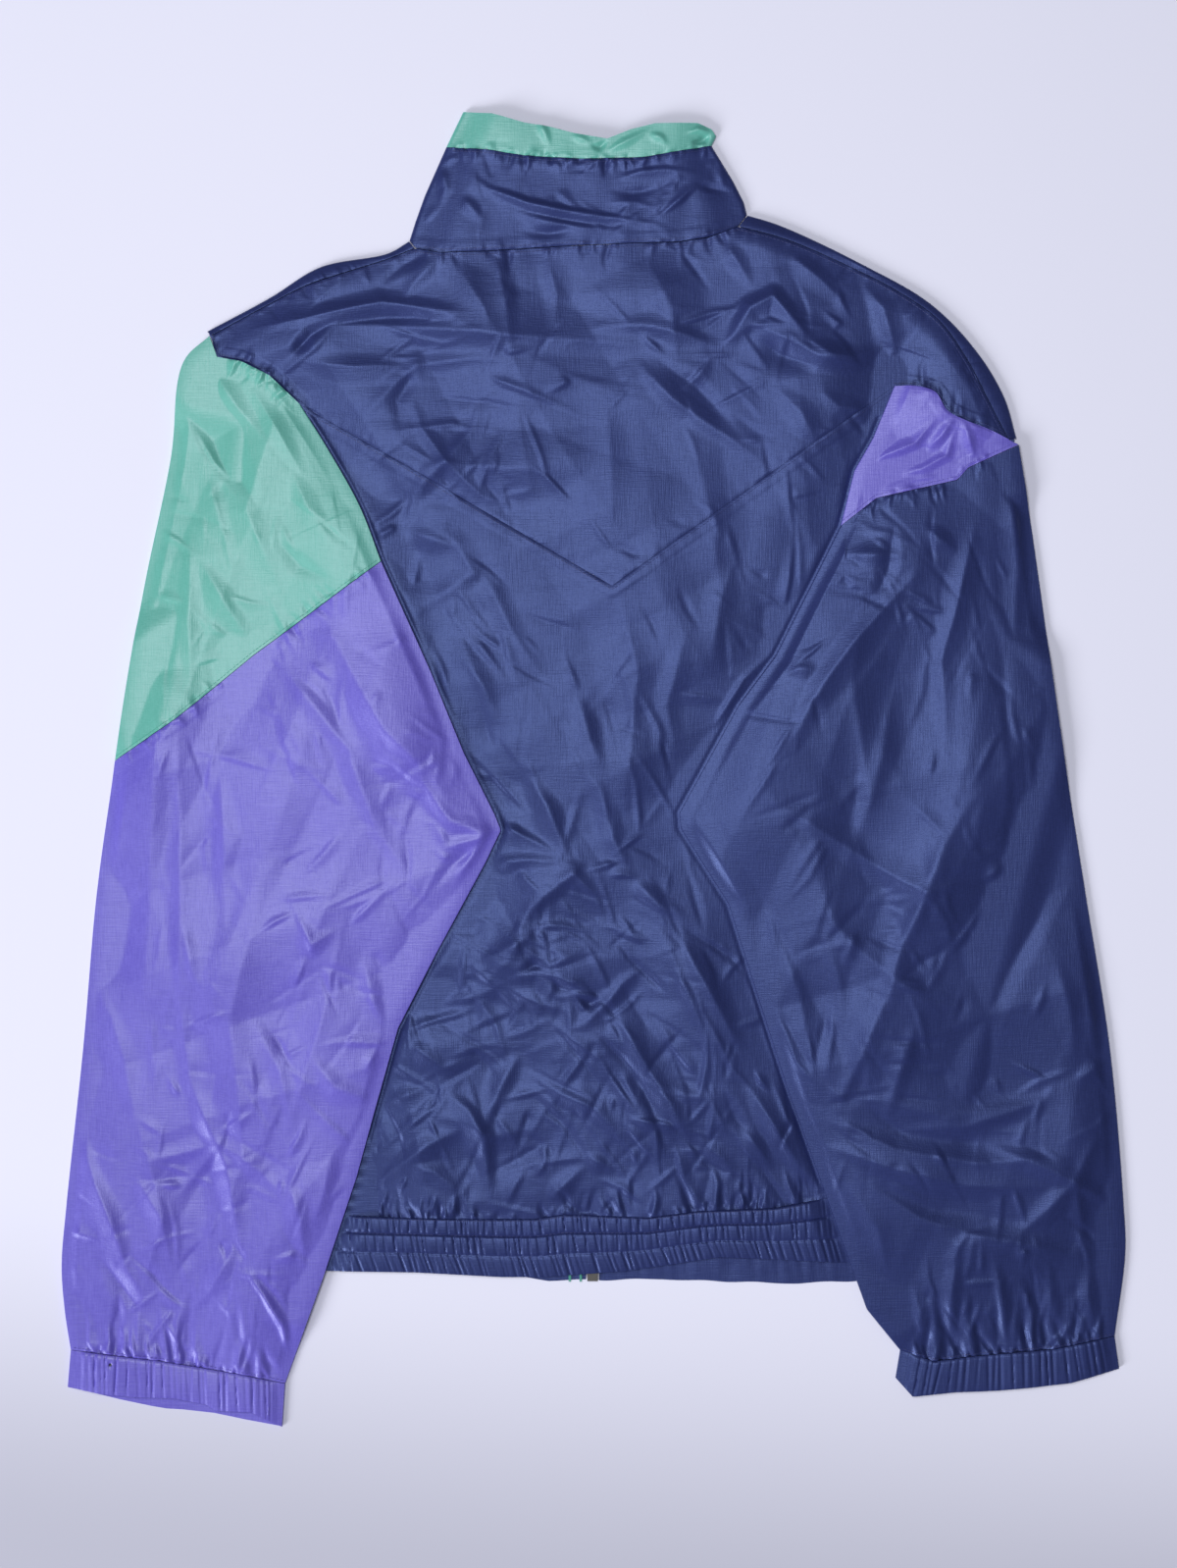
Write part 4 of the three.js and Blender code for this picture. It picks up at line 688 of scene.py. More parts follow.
def back():
    sections = np.arange(len(BACK_TOPS))
    under_left = np.linspace(0, 4, 13)
    between_sleeves = np.linspace(4, 8, 258)
    under_right = np.linspace(8, sections[-1], 13)
    across = np.concatenate([under_left[:-1], between_sleeves, under_right[1:]])
    from_x, from_y = (np.interp(across, sections, BACK_TOPS[:, i]) for i in (0, 1))
    to_x = np.interp(across, sections, BACK_WAIST)
    down = np.linspace(0.0002, 0.9999, 316)[:, None]
    x = from_x + (to_x - from_x) * down
    y = from_y + (height_at(WAIST_SEAM, to_x) - from_y) * down
    return panel("back_body_cloth", x, y, body_top(x, y))


ON_FRONTS = ["front_left_cloth", "front_right_cloth"]
YOKE_AREA = enclosed(
    SHOULDER_SEAM_LEFT, NECK_SEAM, SHOULDER_SEAM_RIGHT,
    ARMHOLE_RIGHT[::-1], YOKE_SEAM[::-1], ARMHOLE_LEFT[::-1],
)  # fmt: skip
sewn_in(yoke(), NAVY, "navy_nylon", (530, 240), YOKE_AREA, ON_FRONTS, "back_yoke")
BACK_AREA = enclosed(BACK_TOPS, WAIST_SEAM[::-1])
sewn_in(back(), NAVY, "navy_nylon", (560, 540), BACK_AREA, ON_FRONTS, "back_body")
topstitched("back_stitches", "navy_nylon", [
    on_top(YOKE_SEAM, -2.2, body_top),
    on_top(NECK_SEAM, -2.2, body_top),
    on_top(SHOULDER_SEAM_LEFT, -2, body_top),
    on_top(SHOULDER_SEAM_RIGHT, -2, body_top),
    on_top(ARMHOLE_LEFT, 2, body_top),
    on_top(ARMHOLE_RIGHT, 2, body_top),
])  # fmt: skip

# Fronts
# Two navy panels that lie flat on the surface under the back. Each wraps over its shoulder, with no
# seam on the fold, to the shoulder seam on the back, where it shows as a narrow strip.
ZIP_X = -0.6
HALF_FLY = 4.3
FRONT_FLAT = (0.4, 1.1)  # lower and upper face where a front rests
STRIP_ROWS = 230
STRIP_AREA = 4500  # of the strip over a shoulder, in mm2
FOLD_DEPTH = 2.4  # how far in from a fold edge the cloth turns over
COLLAR_FOOT = np.vstack([line((-120, 345)), NECK_SEAM, line((100, 362))])


def collar_dip(share):
    """How far the collar's front half lies below its back half, from the sides to the zip."""
    return 43 * (1 - np.abs(2 * share - 1) ** 1.6)


def slab(outline, low, high):
    """Points and faces of a flat sheet between two heights."""
    count = len(outline)
    points = np.vstack([np.column_stack([outline, np.full(count, z)]) for z in (low, high)])
    sides = [(i, (i + 1) % count, count + (i + 1) % count, count + i) for i in range(count)]
    return points, [tuple(range(count))[::-1], tuple(range(count, 2 * count)), *sides]


def repeated(*values):
    """The same values in every row of a shoulder strip."""
    return np.broadcast_to(line(*values), (STRIP_ROWS, len(values)))


def shoulder_strip(fold, seam):
    """Points and faces of the strip over a shoulder, from under its fold edge up to the seam."""
    share = np.linspace(0.003, 0.9995, STRIP_ROWS)[:, None]
    edge_x, edge_y = along(fold, share)
    seam_x, seam_y = along(seam, share)
    gap = np.hypot(seam_x - edge_x, seam_y - edge_y)
    flat = gap - SEAM_GAP - FOLD_DEPTH
    shown = np.linspace(0, 1, 9)[1:] * flat + FOLD_DEPTH
    depth = np.hstack([repeated(6, 2.5, 0.7, 0, 0.35, 1.1, FOLD_DEPTH), shown])
    meet = body_top(seam_x, seam_y) + 0.15
    turned = 1.65 + 2.2 * np.sqrt(1 - (1 - np.clip(depth / FOLD_DEPTH, 0, 1)) ** 2)
    climb = np.clip((depth - FOLD_DEPTH) / flat, 0, 1)
    top = turned + (meet - 3.85) * climb * (2 - climb)
    heights = np.hstack([repeated(0.4, 0.4, 0.8), top[:, 3:]])
    inner_heights = np.hstack([repeated(1.0, 1.0, 1.3), np.maximum(heights[:, 3:] - CLOTH, 1.6)])
    inner_depth = np.where(np.arange(depth.shape[1]) < 6, np.maximum(depth, CLOTH + 0.1), depth)
    grids = []
    for d, z in ((depth, heights), (inner_depth, inner_heights)):
        x, y = edge_x + (seam_x - edge_x) / gap * d, edge_y + (seam_y - edge_y) / gap * d
        grids.append(np.dstack([x, y, z]))
    return grids


def front(name, side, fold, seam, underarm):
    share = np.linspace((ZIP_X + side * HALF_FLY + 120) / 220, 0.02 if side < 0 else 0.98, 12)
    neck_x = -120 + 220 * share
    neck = np.column_stack([neck_x, height_at(COLLAR_FOOT, neck_x) - collar_dip(share) - SEAM_GAP])
    waist = np.array([-184 if side < 0 else 187, ZIP_X + side * HALF_FLY])
    waist = np.column_stack([waist, height_at(WAIST_SEAM, waist) + SEAM_GAP])
    outline = np.vstack([neck, fold - (side * 1.1, 1.5), underarm, waist])
    outer, within = shoulder_strip(fold, seam)
    strip = wall(name, outer, within, np.arange(STRIP_ROWS), np.arange(outer.shape[1]))
    points, faces = slab(outline, *FRONT_FLAT)
    sheet = mesh_object(name + " sheet", points * MM, faces)
    area = enclosed(outline) + STRIP_AREA
    sewn_in(joined(strip, sheet), NAVY, "navy_nylon", (330, 650), area, [], name.replace("_cloth", ""))


def joined(first, *others):
    """One object from several, the first one's name kept."""
    with bpy.context.temp_override(active_object=first, selected_editable_objects=[first, *others]):
        bpy.ops.object.join()
    return first


front("front_left_cloth", -1, SHOULDER_FOLD_LEFT[::-1], SHOULDER_SEAM_LEFT[::-1], BACK_TOPS[3::-1])
front("front_right_cloth", 1, SHOULDER_FOLD_RIGHT, SHOULDER_SEAM_RIGHT, BACK_TOPS[9:])

# Collar
# A navy stand collar with a green strip along its top, a flattened tube of cloth that is open at the
# zip. Its front half lies lower than its back half, and a long crease crosses the back.
COLLAR_SEAM = line((-96, 406), (-69, 404), (-44, 400), (-8, 398), (33, 399), (55, 403), (77, 407))
COLLAR_EDGE = line(
    (-85, 429), (-66, 427.5), (-45, 421.5), (-29, 419), (-12, 414.5), (9, 411), (24, 417), (40, 421),
    (68, 421.5), (77, 417.5), (80, 413),
)  # fmt: skip
STAND_SIDES = (
    line((-120, 345), (-116, 358), (-110, 375), (-96, 406)),
    line((100, 362), (98, 371), (91, 385), (77, 407)),
)
STRIP_SIDES = (line((-96, 406), (-85, 429)), line((77, 407), (80, 413)))
COLLAR_FOLDS = [
    (1.9, 3.5, 9, 0.35, [(-83, 389), (-69, 378), (-44, 369), (8, 360), (40, 356), (55, 349)]),
    (-0.6, 4, 5, 0.5, [(-80, 384), (-60, 371), (-40, 363), (-6, 356), (30, 352)]),
    (1.2, 4, 8, 0.4, [(-58, 366), (-34, 359), (-4, 353), (24, 350)]),
    (1.5, 2.5, 8, 0.5, [(69, 383), (56, 371), (41, 359)]),
    (1.1, 3, 7, 0.4, [(14, 385), (31, 390), (48, 391), (69, 388)]),
    (-1.0, 4, 4, 0.4, [(66, 381), (78, 378), (90, 376)]),
    (1.2, 5, 6, 0.4, [(82, 398), (84, 386), (92, 376)]),
    (-1.2, 4, 5, 0.5, [(86, 392), (88, 384), (94, 378)]),
    (1.0, 6, 6, 0.3, [(-100, 392), (-96, 378), (-100, 364)]),
    (0.9, 5, 7, 0.3, [(-86, 372), (-76, 362), (-70, 354)]),
    (-0.9, 5, 6, 0.5, [(-50, 352), (-30, 350), (-10, 354)]),
    (-1.0, 5, 6, 0.5, [(10, 378), (26, 376), (46, 380)]),
    (1.1, 3, 5, 0.3, [(-36, 422), (-32, 414), (-28, 403)]),
    (-1.2, 3, 3, 0.5, [(-2, 408), (4, 406), (10, 411)]),
    (1.3, 3, 5, 0.4, [(9, 403), (16, 407), (38, 417)]),
    (1.2, 2.5, 4, 0.4, [(36, 414), (44, 411), (49, 405)]),
    (0.8, 3, 4, 0.4, [(-14, 413), (-6, 411), (0, 408)]),
    (-2.8, 3.2, 3.2, 0.6, [(63, 409), (69, 409), (76, 413)]),
    (1.4, 3, 3, 0.5, [(60, 414), (68, 416.5), (77, 415)]),
]
COLLAR_SMALL_FOLDS = [
    *puckers(COLLAR_SEAM, 70, 31, 3, 15, 1.0, -92),
    *puckers(COLLAR_SEAM, 34, 32, 2, 9, 0.7, 88),
    *puckers(NECK_SEAM, 30, 33, 2, 9, 0.6, 90),
    *small_folds([(-10, 385, 70, 14, 30, 10, 50, 14, 0.45), (0, 362, 70, 10, 20, 5, 40, 18, 0.4)], 34),
]


def collar_top(x, y, to_edge):
    free = relief(COLLAR_FOLDS + COLLAR_SMALL_FOLDS, x, y) + 0.35 * sway(x, y, 35, 60, 25)
    free += seam_relief(COLLAR_SEAM, x, y, 36, raised=-1) + seam_relief(NECK_SEAM, x, y, 37, raised=1)
    turned = np.sqrt(1 - (1 - np.clip(to_edge / FOLD_DEPTH, 0, 1)) ** 2)
    full = 1.65 + 1.85 * turned + 3.1 * rise(0, 26, to_edge)
    return full + np.maximum(free, -2.6) * rise(0.5, 6, to_edge)


def collar_band(name, low, high, sides, rows, columns):
    """A flattened tube between two lines, from the zip round the back to the zip again."""
    down = np.linspace(0.002, 0.997, rows)[:, None]
    (first_x, first_y), (last_x, last_y) = (along(side, down) for side in sides)
    width = last_x - first_x
    zip_at = [(ZIP_X + side * HALF_FLY - first_x) / width for side in (-1, 1)]
    edge = line(0, 0.4, 1.1, 2.0) / width
    over = np.hstack([edge, np.linspace(0, 1, columns) * (1 - 6 / width) + 3 / width, 1 - edge[:, ::-1]])
    left_below = zip_at[0] * np.linspace(1, 0, 9)[:-1] + 1.2 / width
    right_below = 1 - 1.2 / width - (1 - zip_at[1]) * np.linspace(0, 1, 9)[1:]
    share = np.hstack([left_below, over, right_below])
    foot = sides[0][0, 0] + (sides[1][0, 0] - sides[0][0, 0]) * share
    head = sides[0][-1, 0] + (sides[1][-1, 0] - sides[0][-1, 0]) * share
    is_over = np.zeros(share.shape[1], bool)
    is_over[8 : 8 + over.shape[1]] = True
    dip = np.where(is_over, 0, collar_dip(share))
    y = height_at(low, foot) * (1 - down) + height_at(high, head) * down - dip
    x = first_x + width * share
    z = np.where(is_over, collar_top(x, y, np.minimum(share, 1 - share) * width), 0.3)
    ends = np.clip(share, CLOTH / width, 1 - CLOTH / width)
    inner_z = np.where(is_over, np.maximum(z - CLOTH, 1.3), 0.3 + CLOTH)
    inner = np.dstack([first_x + width * ends, y, inner_z])
    return wall(name, np.dstack([x, y, z]), inner, np.arange(rows), np.arange(share.shape[1]))


GREEN = taffeta("green nylon", (0.130, 0.435, 0.380), (0.088, 0.370, 0.310), (0.85, 0.88, 1.0))
stand = collar_band("collar_stand_cloth", COLLAR_FOOT, COLLAR_SEAM, STAND_SIDES, 44, 150)
sewn_in(stand, NAVY, "navy_nylon", (420, 66), 420 * 60, ON_FRONTS, "collar_stand")
strip = collar_band("collar_top_cloth", COLLAR_SEAM, COLLAR_EDGE, STRIP_SIDES, 20, 130)
sewn_in(strip, GREEN, "green_nylon", (350, 28), 350 * 20, ON_FRONTS, "collar_top")


def stand_top(x, y):
    left, right = (reach_at(side, y) for side in STAND_SIDES)
    return collar_top(x, y, np.minimum(x - left, right - x))


topstitched("collar_stitches", "navy_nylon", [
    on_top(COLLAR_SEAM, -2.2, stand_top, start=0.03, end=0.97),
    on_top(NECK_SEAM, 2, stand_top, start=0.03, end=0.97),
])  # fmt: skip

# Waistband
# A navy band folded over wide elastic and stitched through it in two rows, so that it gathers in three
# channels across the back. The front bands are flat and show below the back one round the zip.
HEM_BACK = line(
    (-184, -326), (-116, -327), (-60, -330), (-32, -330), (22, -326), (82, -317), (129, -319), (187, -322)
)
HEM_FRONT = line(
    (-184, -324), (-106, -326), (-54, -329), (-29, -333), (45, -332), (134, -335), (187, -332)
)
BAND_LENGTH = 371  # across the back, gathered
BAND_CHANNELS = [  # from and to down the band, how far its gathers lean to the right, and its puff
    (0.0, 0.30, 0.6, 0.9),
    (0.30, 0.64, 1.2, 0.8),
    (0.64, 1.0, 4.5, 0.5),
]
BAND_PINCHES = ((0, 0.3), (0.3, 1), (0.64, 1))  # how far down the band, and how deep


def between(top, bottom, left, right):
    """A panel's plan between four edge lines."""

    def plan(share, down):
        (left_x, left_y), (right_x, right_y) = along(left, down), along(right, down)
        (top_x, top_y), (low_x, low_y) = along(top, share), along(bottom, share)
        x = left_x + (right_x - left_x) * share + top_x + (low_x - top_x) * down
        y = left_y + (right_y - left_y) * share + top_y + (low_y - top_y) * down
        corner = (top[0] + (top[-1] - top[0]) * share[..., None]) * (1 - down[..., None])
        corner = corner + (bottom[0] + (bottom[-1] - bottom[0]) * share[..., None]) * down[..., None]
        return x - corner[..., 0], y - corner[..., 1]

    return plan


def gathers(reach, down, length, channels, seed, closest=2.2, widest=9.5):
    """Narrow uneven tucks across elastic, one set for each channel, between stitch rows that pinch them."""
    random = np.random.default_rng(seed)
    height = np.zeros(reach.shape)
    for start, end, lean, puff in channels:
        share = (down - start) / (end - start)
        within = (share >= 0) & (share <= 1)
        bulge = np.sqrt(np.clip(1 - (2 * share - 1) ** 2, 0, 1))
        height += np.where(within, puff * bulge, 0)
        place = random.uniform(0, 3)
        while place < length:
            deep, wide, bent = random.uniform(0.25, 0.9), random.uniform(0.5, 1.0), random.normal(0, 0.6)
            near = within & (np.abs(reach - place - lean * share) < 7)
            off = reach[near] - place - (lean + bent) * share[near]
            held = 0.45 + 0.55 * bulge[near]
            height[near] -= held * deep * np.exp(-((off / wide) ** 2))
            height[near] += held * 0.15 * deep * np.exp(-(((off - 1.7 * wide) / (1.3 * wide)) ** 2))
            place += closest + (widest - closest) * random.beta(1.2, 2.6)
    return height


BAND_PLAN = between(
    WAIST_SEAM - (0, 0.06), HEM_BACK, line((-184, -289.06), (-184, -326)), line((187, -273.06), (187, -322))
)


def band_top(x, y, share, down):
    tucks = gathers(share * BAND_LENGTH, down, BAND_LENGTH, BAND_CHANNELS, 41)
    pinched = sum(depth * np.exp(-(((down - row) * 37 / 0.7) ** 2)) for row, depth in BAND_PINCHES)
    loft = BODY_LOFT - 0.3 - FLAT_BACK + 0.4 * sway(x, y, 42, 90, 40) - 0.5 * down**3
    clear = clear_of_sleeves(x, y)
    return FLAT_BACK + np.maximum(0, loft * rise(1, 16, clear) + (tucks - 0.7 * pinched) * rise(0, 6, clear))


def waistband_back():
    share, down = np.meshgrid(np.linspace(0, 1, 480), np.linspace(0, 1, 44))
    x, y = BAND_PLAN(share, down)
    return panel("waistband_back_cloth", x, y, band_top(x, y, share, down))


def band_row(down):
    """A row of stitches through the elastic, a share of the way down the band."""
    share, down = np.linspace(0.08, 0.86, 240), np.full(240, down)
    x, y = BAND_PLAN(share, down)
    return x, y, band_top(x, y, share, down) + 0.2


BAND_AREA = BAND_LENGTH * 42
ON_FRONT_BAND = ["waistband_front_left_cloth"]
sewn_in(waistband_back(), NAVY, "navy_nylon", (640, 48), BAND_AREA, ON_FRONT_BAND, "waistband_back")
topstitched("waistband_stitches", "navy_nylon", [band_row(0.04), band_row(0.30), band_row(0.64)])


def waistband_front(name, side):
    rows, columns = 14, 120
    zip_edge, far = ZIP_X + side * HALF_FLY, (-184 if side < 0 else 187)
    across = np.linspace(zip_edge, far, columns)
    high = np.linspace(height_at(WAIST_SEAM, zip_edge), height_at(WAIST_SEAM, far), columns)
    down = np.linspace(0, 1, rows)[:, None]
    low = height_at(HEM_FRONT, across) + 0.5 * sway(across, 0 * across, 43, 40, 15)
    x, y = np.broadcast_arrays(across, high + (low - high) * down)
    top = 1.3 + (0.15 * sway(x, y, 44, 30, 12) + 0.3 * sway(x, 0.2 * y, 45, 16, 5)) * rise(1, 0.8, down)
    grid = np.dstack([x, y, top])
    under = np.dstack([x, y, 0 * x + 0.2])
    piece = wall(name, grid, under, np.arange(rows), np.arange(columns))
    sewn_in(piece, NAVY, "navy_nylon", (180, 50), 180 * 46, [], name.replace("_cloth", ""))


waistband_front("waistband_front_left_cloth", -1)
waistband_front("waistband_front_right_cloth", 1)

# Sleeves
# Flattened tubes of the same nylon, each in two colours joined by a slanting seam: green over purple
# on the left, and purple over navy on the right. They lie on the surface and on the back.
FOLD_ROUND = 10  # how far in from its fold edge a sleeve's upper side rounds up
PRESSED = 3.3  # height of a tube that is pressed flat
LEFT_OUTER = np.vstack([
    smooth((-250, 283), (-267, 266), (-276, 202), (-292, 125), (-303, 64), (-312, 6))[:-1],
    smooth((-312, 6), (-324, -80), (-333, -182), (-344, -285), (-347, -323), (-345, -352), (-341, -378)),
])  # fmt: skip
RIGHT_OUTER = np.vstack([
    line((271, 215)),
    smooth(
        (277, 212), (285, 163), (305, 22), (321, -80), (337, -182), (346, -285), (347, -314), (340, -369)
    ),
])  # fmt: skip
COLOUR_SEAM_LEFT = line((-312, 6), (-272, 33), (-221, 75), (-176, 108), (-138, 136))
COLOUR_SEAM_RIGHT = line((161, 159), (184, 177), (237, 189), (244, 197), (277, 212))
CUFF_SEAM_LEFT = line((-341, -378), (-282, -385), (-233, -393), (-201, -400))
CUFF_SEAM_RIGHT = line((200, -378), (222, -385), (244, -382), (301, -377), (340, -369))
LEFT_FOLDS = [
    (2.2, 40, 26, 0.5, [(-262, 120), (-284, 20), (-290, -90), (-296, -190)]),
    (2.4, 30, 30, 0.5, [(-210, -60), (-236, -160), (-228, -250), (-250, -330)]),
    (2.0, 26, 22, 0.5, [(-160, -90), (-176, -160), (-200, -240)]),
    (2.2, 30, 24, 0.5, [(-300, -220), (-280, -290), (-296, -350)]),
    (1.8, 26, 20, 0.5, [(-200, 250), (-226, 170), (-200, 110)]),
    (1.5, 20, 10, 0.5, [(-270, 31), (-270, -74), (-269, -161)]),
    (1.3, 14, 9, 0.4, [(-268, -150), (-262, -202), (-250, -230)]),
    (2.0, 14, 11, 0.5, [(-267, -187), (-255, -218), (-240, -255), (-233, -289), (-230, -324)]),
    (2.4, 14, 3, 0.6, [(-229, -322), (-214, -342), (-203, -362), (-199, -384)]),
    (-1.4, 5, 9, 0.5, [(-222, -324), (-208, -342), (-196, -362)]),
    (1.1, 12, 9, 0.4, [(-243, 1), (-240, -54), (-240, -111)]),
    (1.0, 9, 9, 0.5, [(-262, 158), (-263, 100), (-262, 45)]),
    (1.3, 9, 12, 0.4, [(-255, 136), (-240, 109), (-221, 79)]),
    (-2.8, 18, 15, 0.5, [(-265, 268), (-250, 228), (-236, 199), (-218, 172)]),
    (1.2, 9, 12, 0.4, [(-248, 262), (-232, 236), (-214, 214)]),
    (1.0, 9, 9, 0.5, [(-224, 250), (-206, 222), (-188, 190)]),
    (0.9, 9, 11, 0.4, [(-252, 196), (-244, 160), (-232, 140)]),
    (0.9, 9, 9, 0.5, [(-196, 196), (-184, 168), (-168, 146)]),
    (-1.0, 8, 9, 0.5, [(-206, 150), (-190, 132), (-170, 122)]),
    (4.6, 58, 26, 0.5, [(-179, 106), (-162, 75), (-135, 26), (-115, 6), (-93, -19), (-71, -40)]),
    (1.6, 16, 12, 0.4, [(-206, 72), (-184, 45), (-159, 13), (-152, -11), (-142, -38), (-113, -77)]),
    (1.4, 8, 10, 0.6, [(-118, 3), (-93, -31), (-71, -42)]),
    (1.6, 7, 8, 0.0, [(-68, -43), (-86, -47), (-104, -52)]),
    (1.3, 7, 9, 0.0, [(-68, -43), (-80, -58), (-92, -76)]),
    (1.3, 7, 8, 0.0, [(-68, -43), (-86, -34), (-108, -34)]),
    (-1.0, 6, 7, 0.2, [(-76, -50), (-92, -62), (-106, -80)]),
    (1.4, 8, 9, 0.5, [(-194, -94), (-184, -114), (-167, -104)]),
    (1.2, 9, 9, 0.4, [(-269, -92), (-260, -134), (-253, -143)]),
    (1.8, 9, 14, 0.5, [(-336, -228), (-324, -270), (-309, -307), (-304, -324), (-289, -346)]),
    (1.6, 9, 12, 0.4, [(-233, -307), (-250, -339), (-265, -353)]),
    (1.6, 9, 14, 0.0, [(-243, -243), (-258, -262), (-274, -284)]),
    (1.5, 10, 12, 0.0, [(-243, -243), (-268, -250), (-306, -258)]),
    (1.3, 10, 12, 0.0, [(-243, -243), (-216, -262), (-190, -288)]),
    (1.4, 10, 12, 0.5, [(-184, -184), (-167, -206), (-141, -216)]),
    (1.2, 10, 12, 0.4, [(-222, -160), (-204, -196), (-196, -236)]),
    (1.2, 10, 10, 0.4, [(-150, -122), (-142, -152), (-134, -176)]),
    (1.0, 10, 12, 0.5, [(-322, -140), (-306, -190), (-298, -232)]),
    (1.1, 8, 10, 0.4, [(-300, -262), (-282, -292), (-272, -330)]),
    (-1.2, 8, 10, 0.5, [(-322, -316), (-306, -338), (-292, -356)]),
    (1.2, 8, 10, 0.4, [(-200, -262), (-190, -292), (-186, -330)]),
    (1.0, 9, 9, 0.5, [(-168, -246), (-176, -276), (-184, -300)]),
]
LEFT_CREASES = [
    (-118, -10, 22, 36, 35, -50, 40, 20, 0.6),
    (-180, 40, 26, 50, 22, -60, 30, 26, 0.5),
    (-170, -130, 40, 50, 35, -60, 50, 26, 0.6),
    (-250, -250, 60, 50, 42, -70, 60, 24, 0.6),
    (-230, 140, 40, 60, 29, -60, 40, 24, 0.45),
    (-280, -60, 30, 90, 22, 85, 25, 30, 0.4),
    (-260, -330, 60, 26, 35, -80, 40, 20, 0.7),
]
RIGHT_FOLDS = [
    (3.4, 16, 60, 0.5, [(166, -262), (214, -292), (262, -306), (330, -318)]),
    (3.2, 14, 52, 0.5, [(148, -226), (196, -246), (250, -256), (316, -252)]),
    (2.2, 44, 120, 0.5, [(222, 200), (206, 110), (164, 40), (140, -30), (160, -120), (196, -220)]),
    (2.2, 34, 26, 0.5, [(178, 130), (168, 60), (180, -20), (160, -70)]),
    (-2.2, 34, 30, 0.5, [(262, 140), (268, 30), (282, -90)]),
    (2.2, 26, 36, 0.5, [(122, -60), (166, -110), (214, -150), (268, -160)]),
    (2.0, 30, 22, 0.5, [(168, -210), (230, -226), (300, -214)]),
    (1.9, 12, 18, 0.0, [(216, -80), (178, -58), (148, -40), (104, -13)]),
    (1.3, 10, 12, 0.0, [(216, -80), (198, -84), (176, -84)]),
    (1.3, 9, 11, 0.0, [(216, -80), (230, -76), (244, -74)]),
    (1.5, 12, 12, 0.0, [(216, -80), (227, -48), (242, -24), (259, -6)]),
    (1.9, 12, 12, 0.0, [(216, -80), (202, -112), (193, -143), (166, -202)]),
    (1.2, 10, 11, 0.0, [(216, -80), (228, -100), (236, -128)]),
    (2.0, 15, 11, 0.4, [(215, 131), (190, 106), (168, 82), (141, 43), (115, -4)]),
    (1.1, 8, 9, 0.5, [(124, 63), (134, 66), (146, 64)]),
    (1.3, 9, 9, 0.4, [(163, 141), (182, 139), (205, 138)]),
    (1.6, 12, 12, 0.3, [(249, 163), (242, 131), (234, 97), (227, 72), (230, -1)]),
    (1.3, 9, 10, 0.4, [(215, 158), (226, 149), (238, 141)]),
    (-1.1, 8, 10, 0.4, [(196, 160), (192, 130), (180, 104)]),
    (1.1, 12, 12, 0.4, [(270, 190), (276, 130), (272, 70)]),
    (0.9, 12, 14, 0.5, [(196, 60), (188, 10), (176, -36)]),
    (0.9, 12, 12, 0.5, [(262, 52), (270, 0), (268, -50)]),
    (1.4, 9, 9, 0.4, [(254, -72), (264, -64), (274, -57)]),
    (1.3, 9, 9, 0.4, [(261, -97), (272, -104), (282, -109)]),
    (1.8, 12, 14, 0.0, [(314, -268), (278, -252), (242, -236)]),
    (1.5, 9, 11, 0.0, [(314, -268), (328, -276), (343, -286)]),
    (1.7, 12, 12, 0.0, [(314, -268), (286, -294), (257, -319)]),
    (1.4, 9, 10, 0.0, [(314, -268), (322, -250), (330, -232)]),
    (1.3, 9, 11, 0.0, [(314, -268), (318, -296), (316, -322)]),
    (1.9, 14, 11, 0.5, [(144, -243), (193, -258), (242, -270), (273, -272), (303, -270)]),
    (1.4, 11, 10, 0.5, [(198, -233), (242, -233), (305, -211)]),
    (1.4, 10, 12, 0.4, [(193, -143), (178, -177), (156, -228)]),
    (1.3, 9, 10, 0.4, [(210, -164), (198, -199), (190, -230)]),
    (1.3, 8, 10, 0.5, [(312, -204), (324, -196), (336, -187)]),
    (1.9, 9, 8, 0.6, [(260, -316), (265, -346), (269, -374)]),
    (1.7, 9, 8, 0.6, [(238, -304), (233, -338), (232, -370)]),
    (1.5, 9, 9, 0.6, [(208, -336), (212, -352), (214, -372)]),
    (1.3, 8, 9, 0.6, [(296, -318), (298, -344), (302, -368)]),
    (1.1, 8, 9, 0.6, [(324, -318), (322, -342), (326, -364)]),
    (1.0, 10, 12, 0.5, [(300, -120), (310, -156), (312, -192)]),
    (1.0, 10, 12, 0.4, [(120, -110), (134, -148), (142, -190)]),
    (1.0, 9, 12, 0.5, [(150, -106), (160, -140), (160, -170)]),
    (1.0, 10, 10, 0.5, [(164, -268), (184, -298), (192, -330)]),
    (-1.2, 8, 10, 0.5, [(224, -296), (240, -300), (262, -296)]),
]
RIGHT_CREASES = [
    (190, 130, 30, 20, 22, -60, 40, 22, 0.55),
    (140, 60, 24, 40, 22, 55, 30, 24, 0.5),
    (220, -80, 44, 44, 42, 20, 70, 24, 0.55),
    (270, -240, 50, 40, 45, 10, 60, 24, 0.6),
    (170, -200, 30, 60, 29, -65, 40, 26, 0.55),
    (250, -340, 60, 22, 42, -85, 30, 18, 0.8),
    (260, 60, 26, 70, 19, -80, 30, 30, 0.45),
]
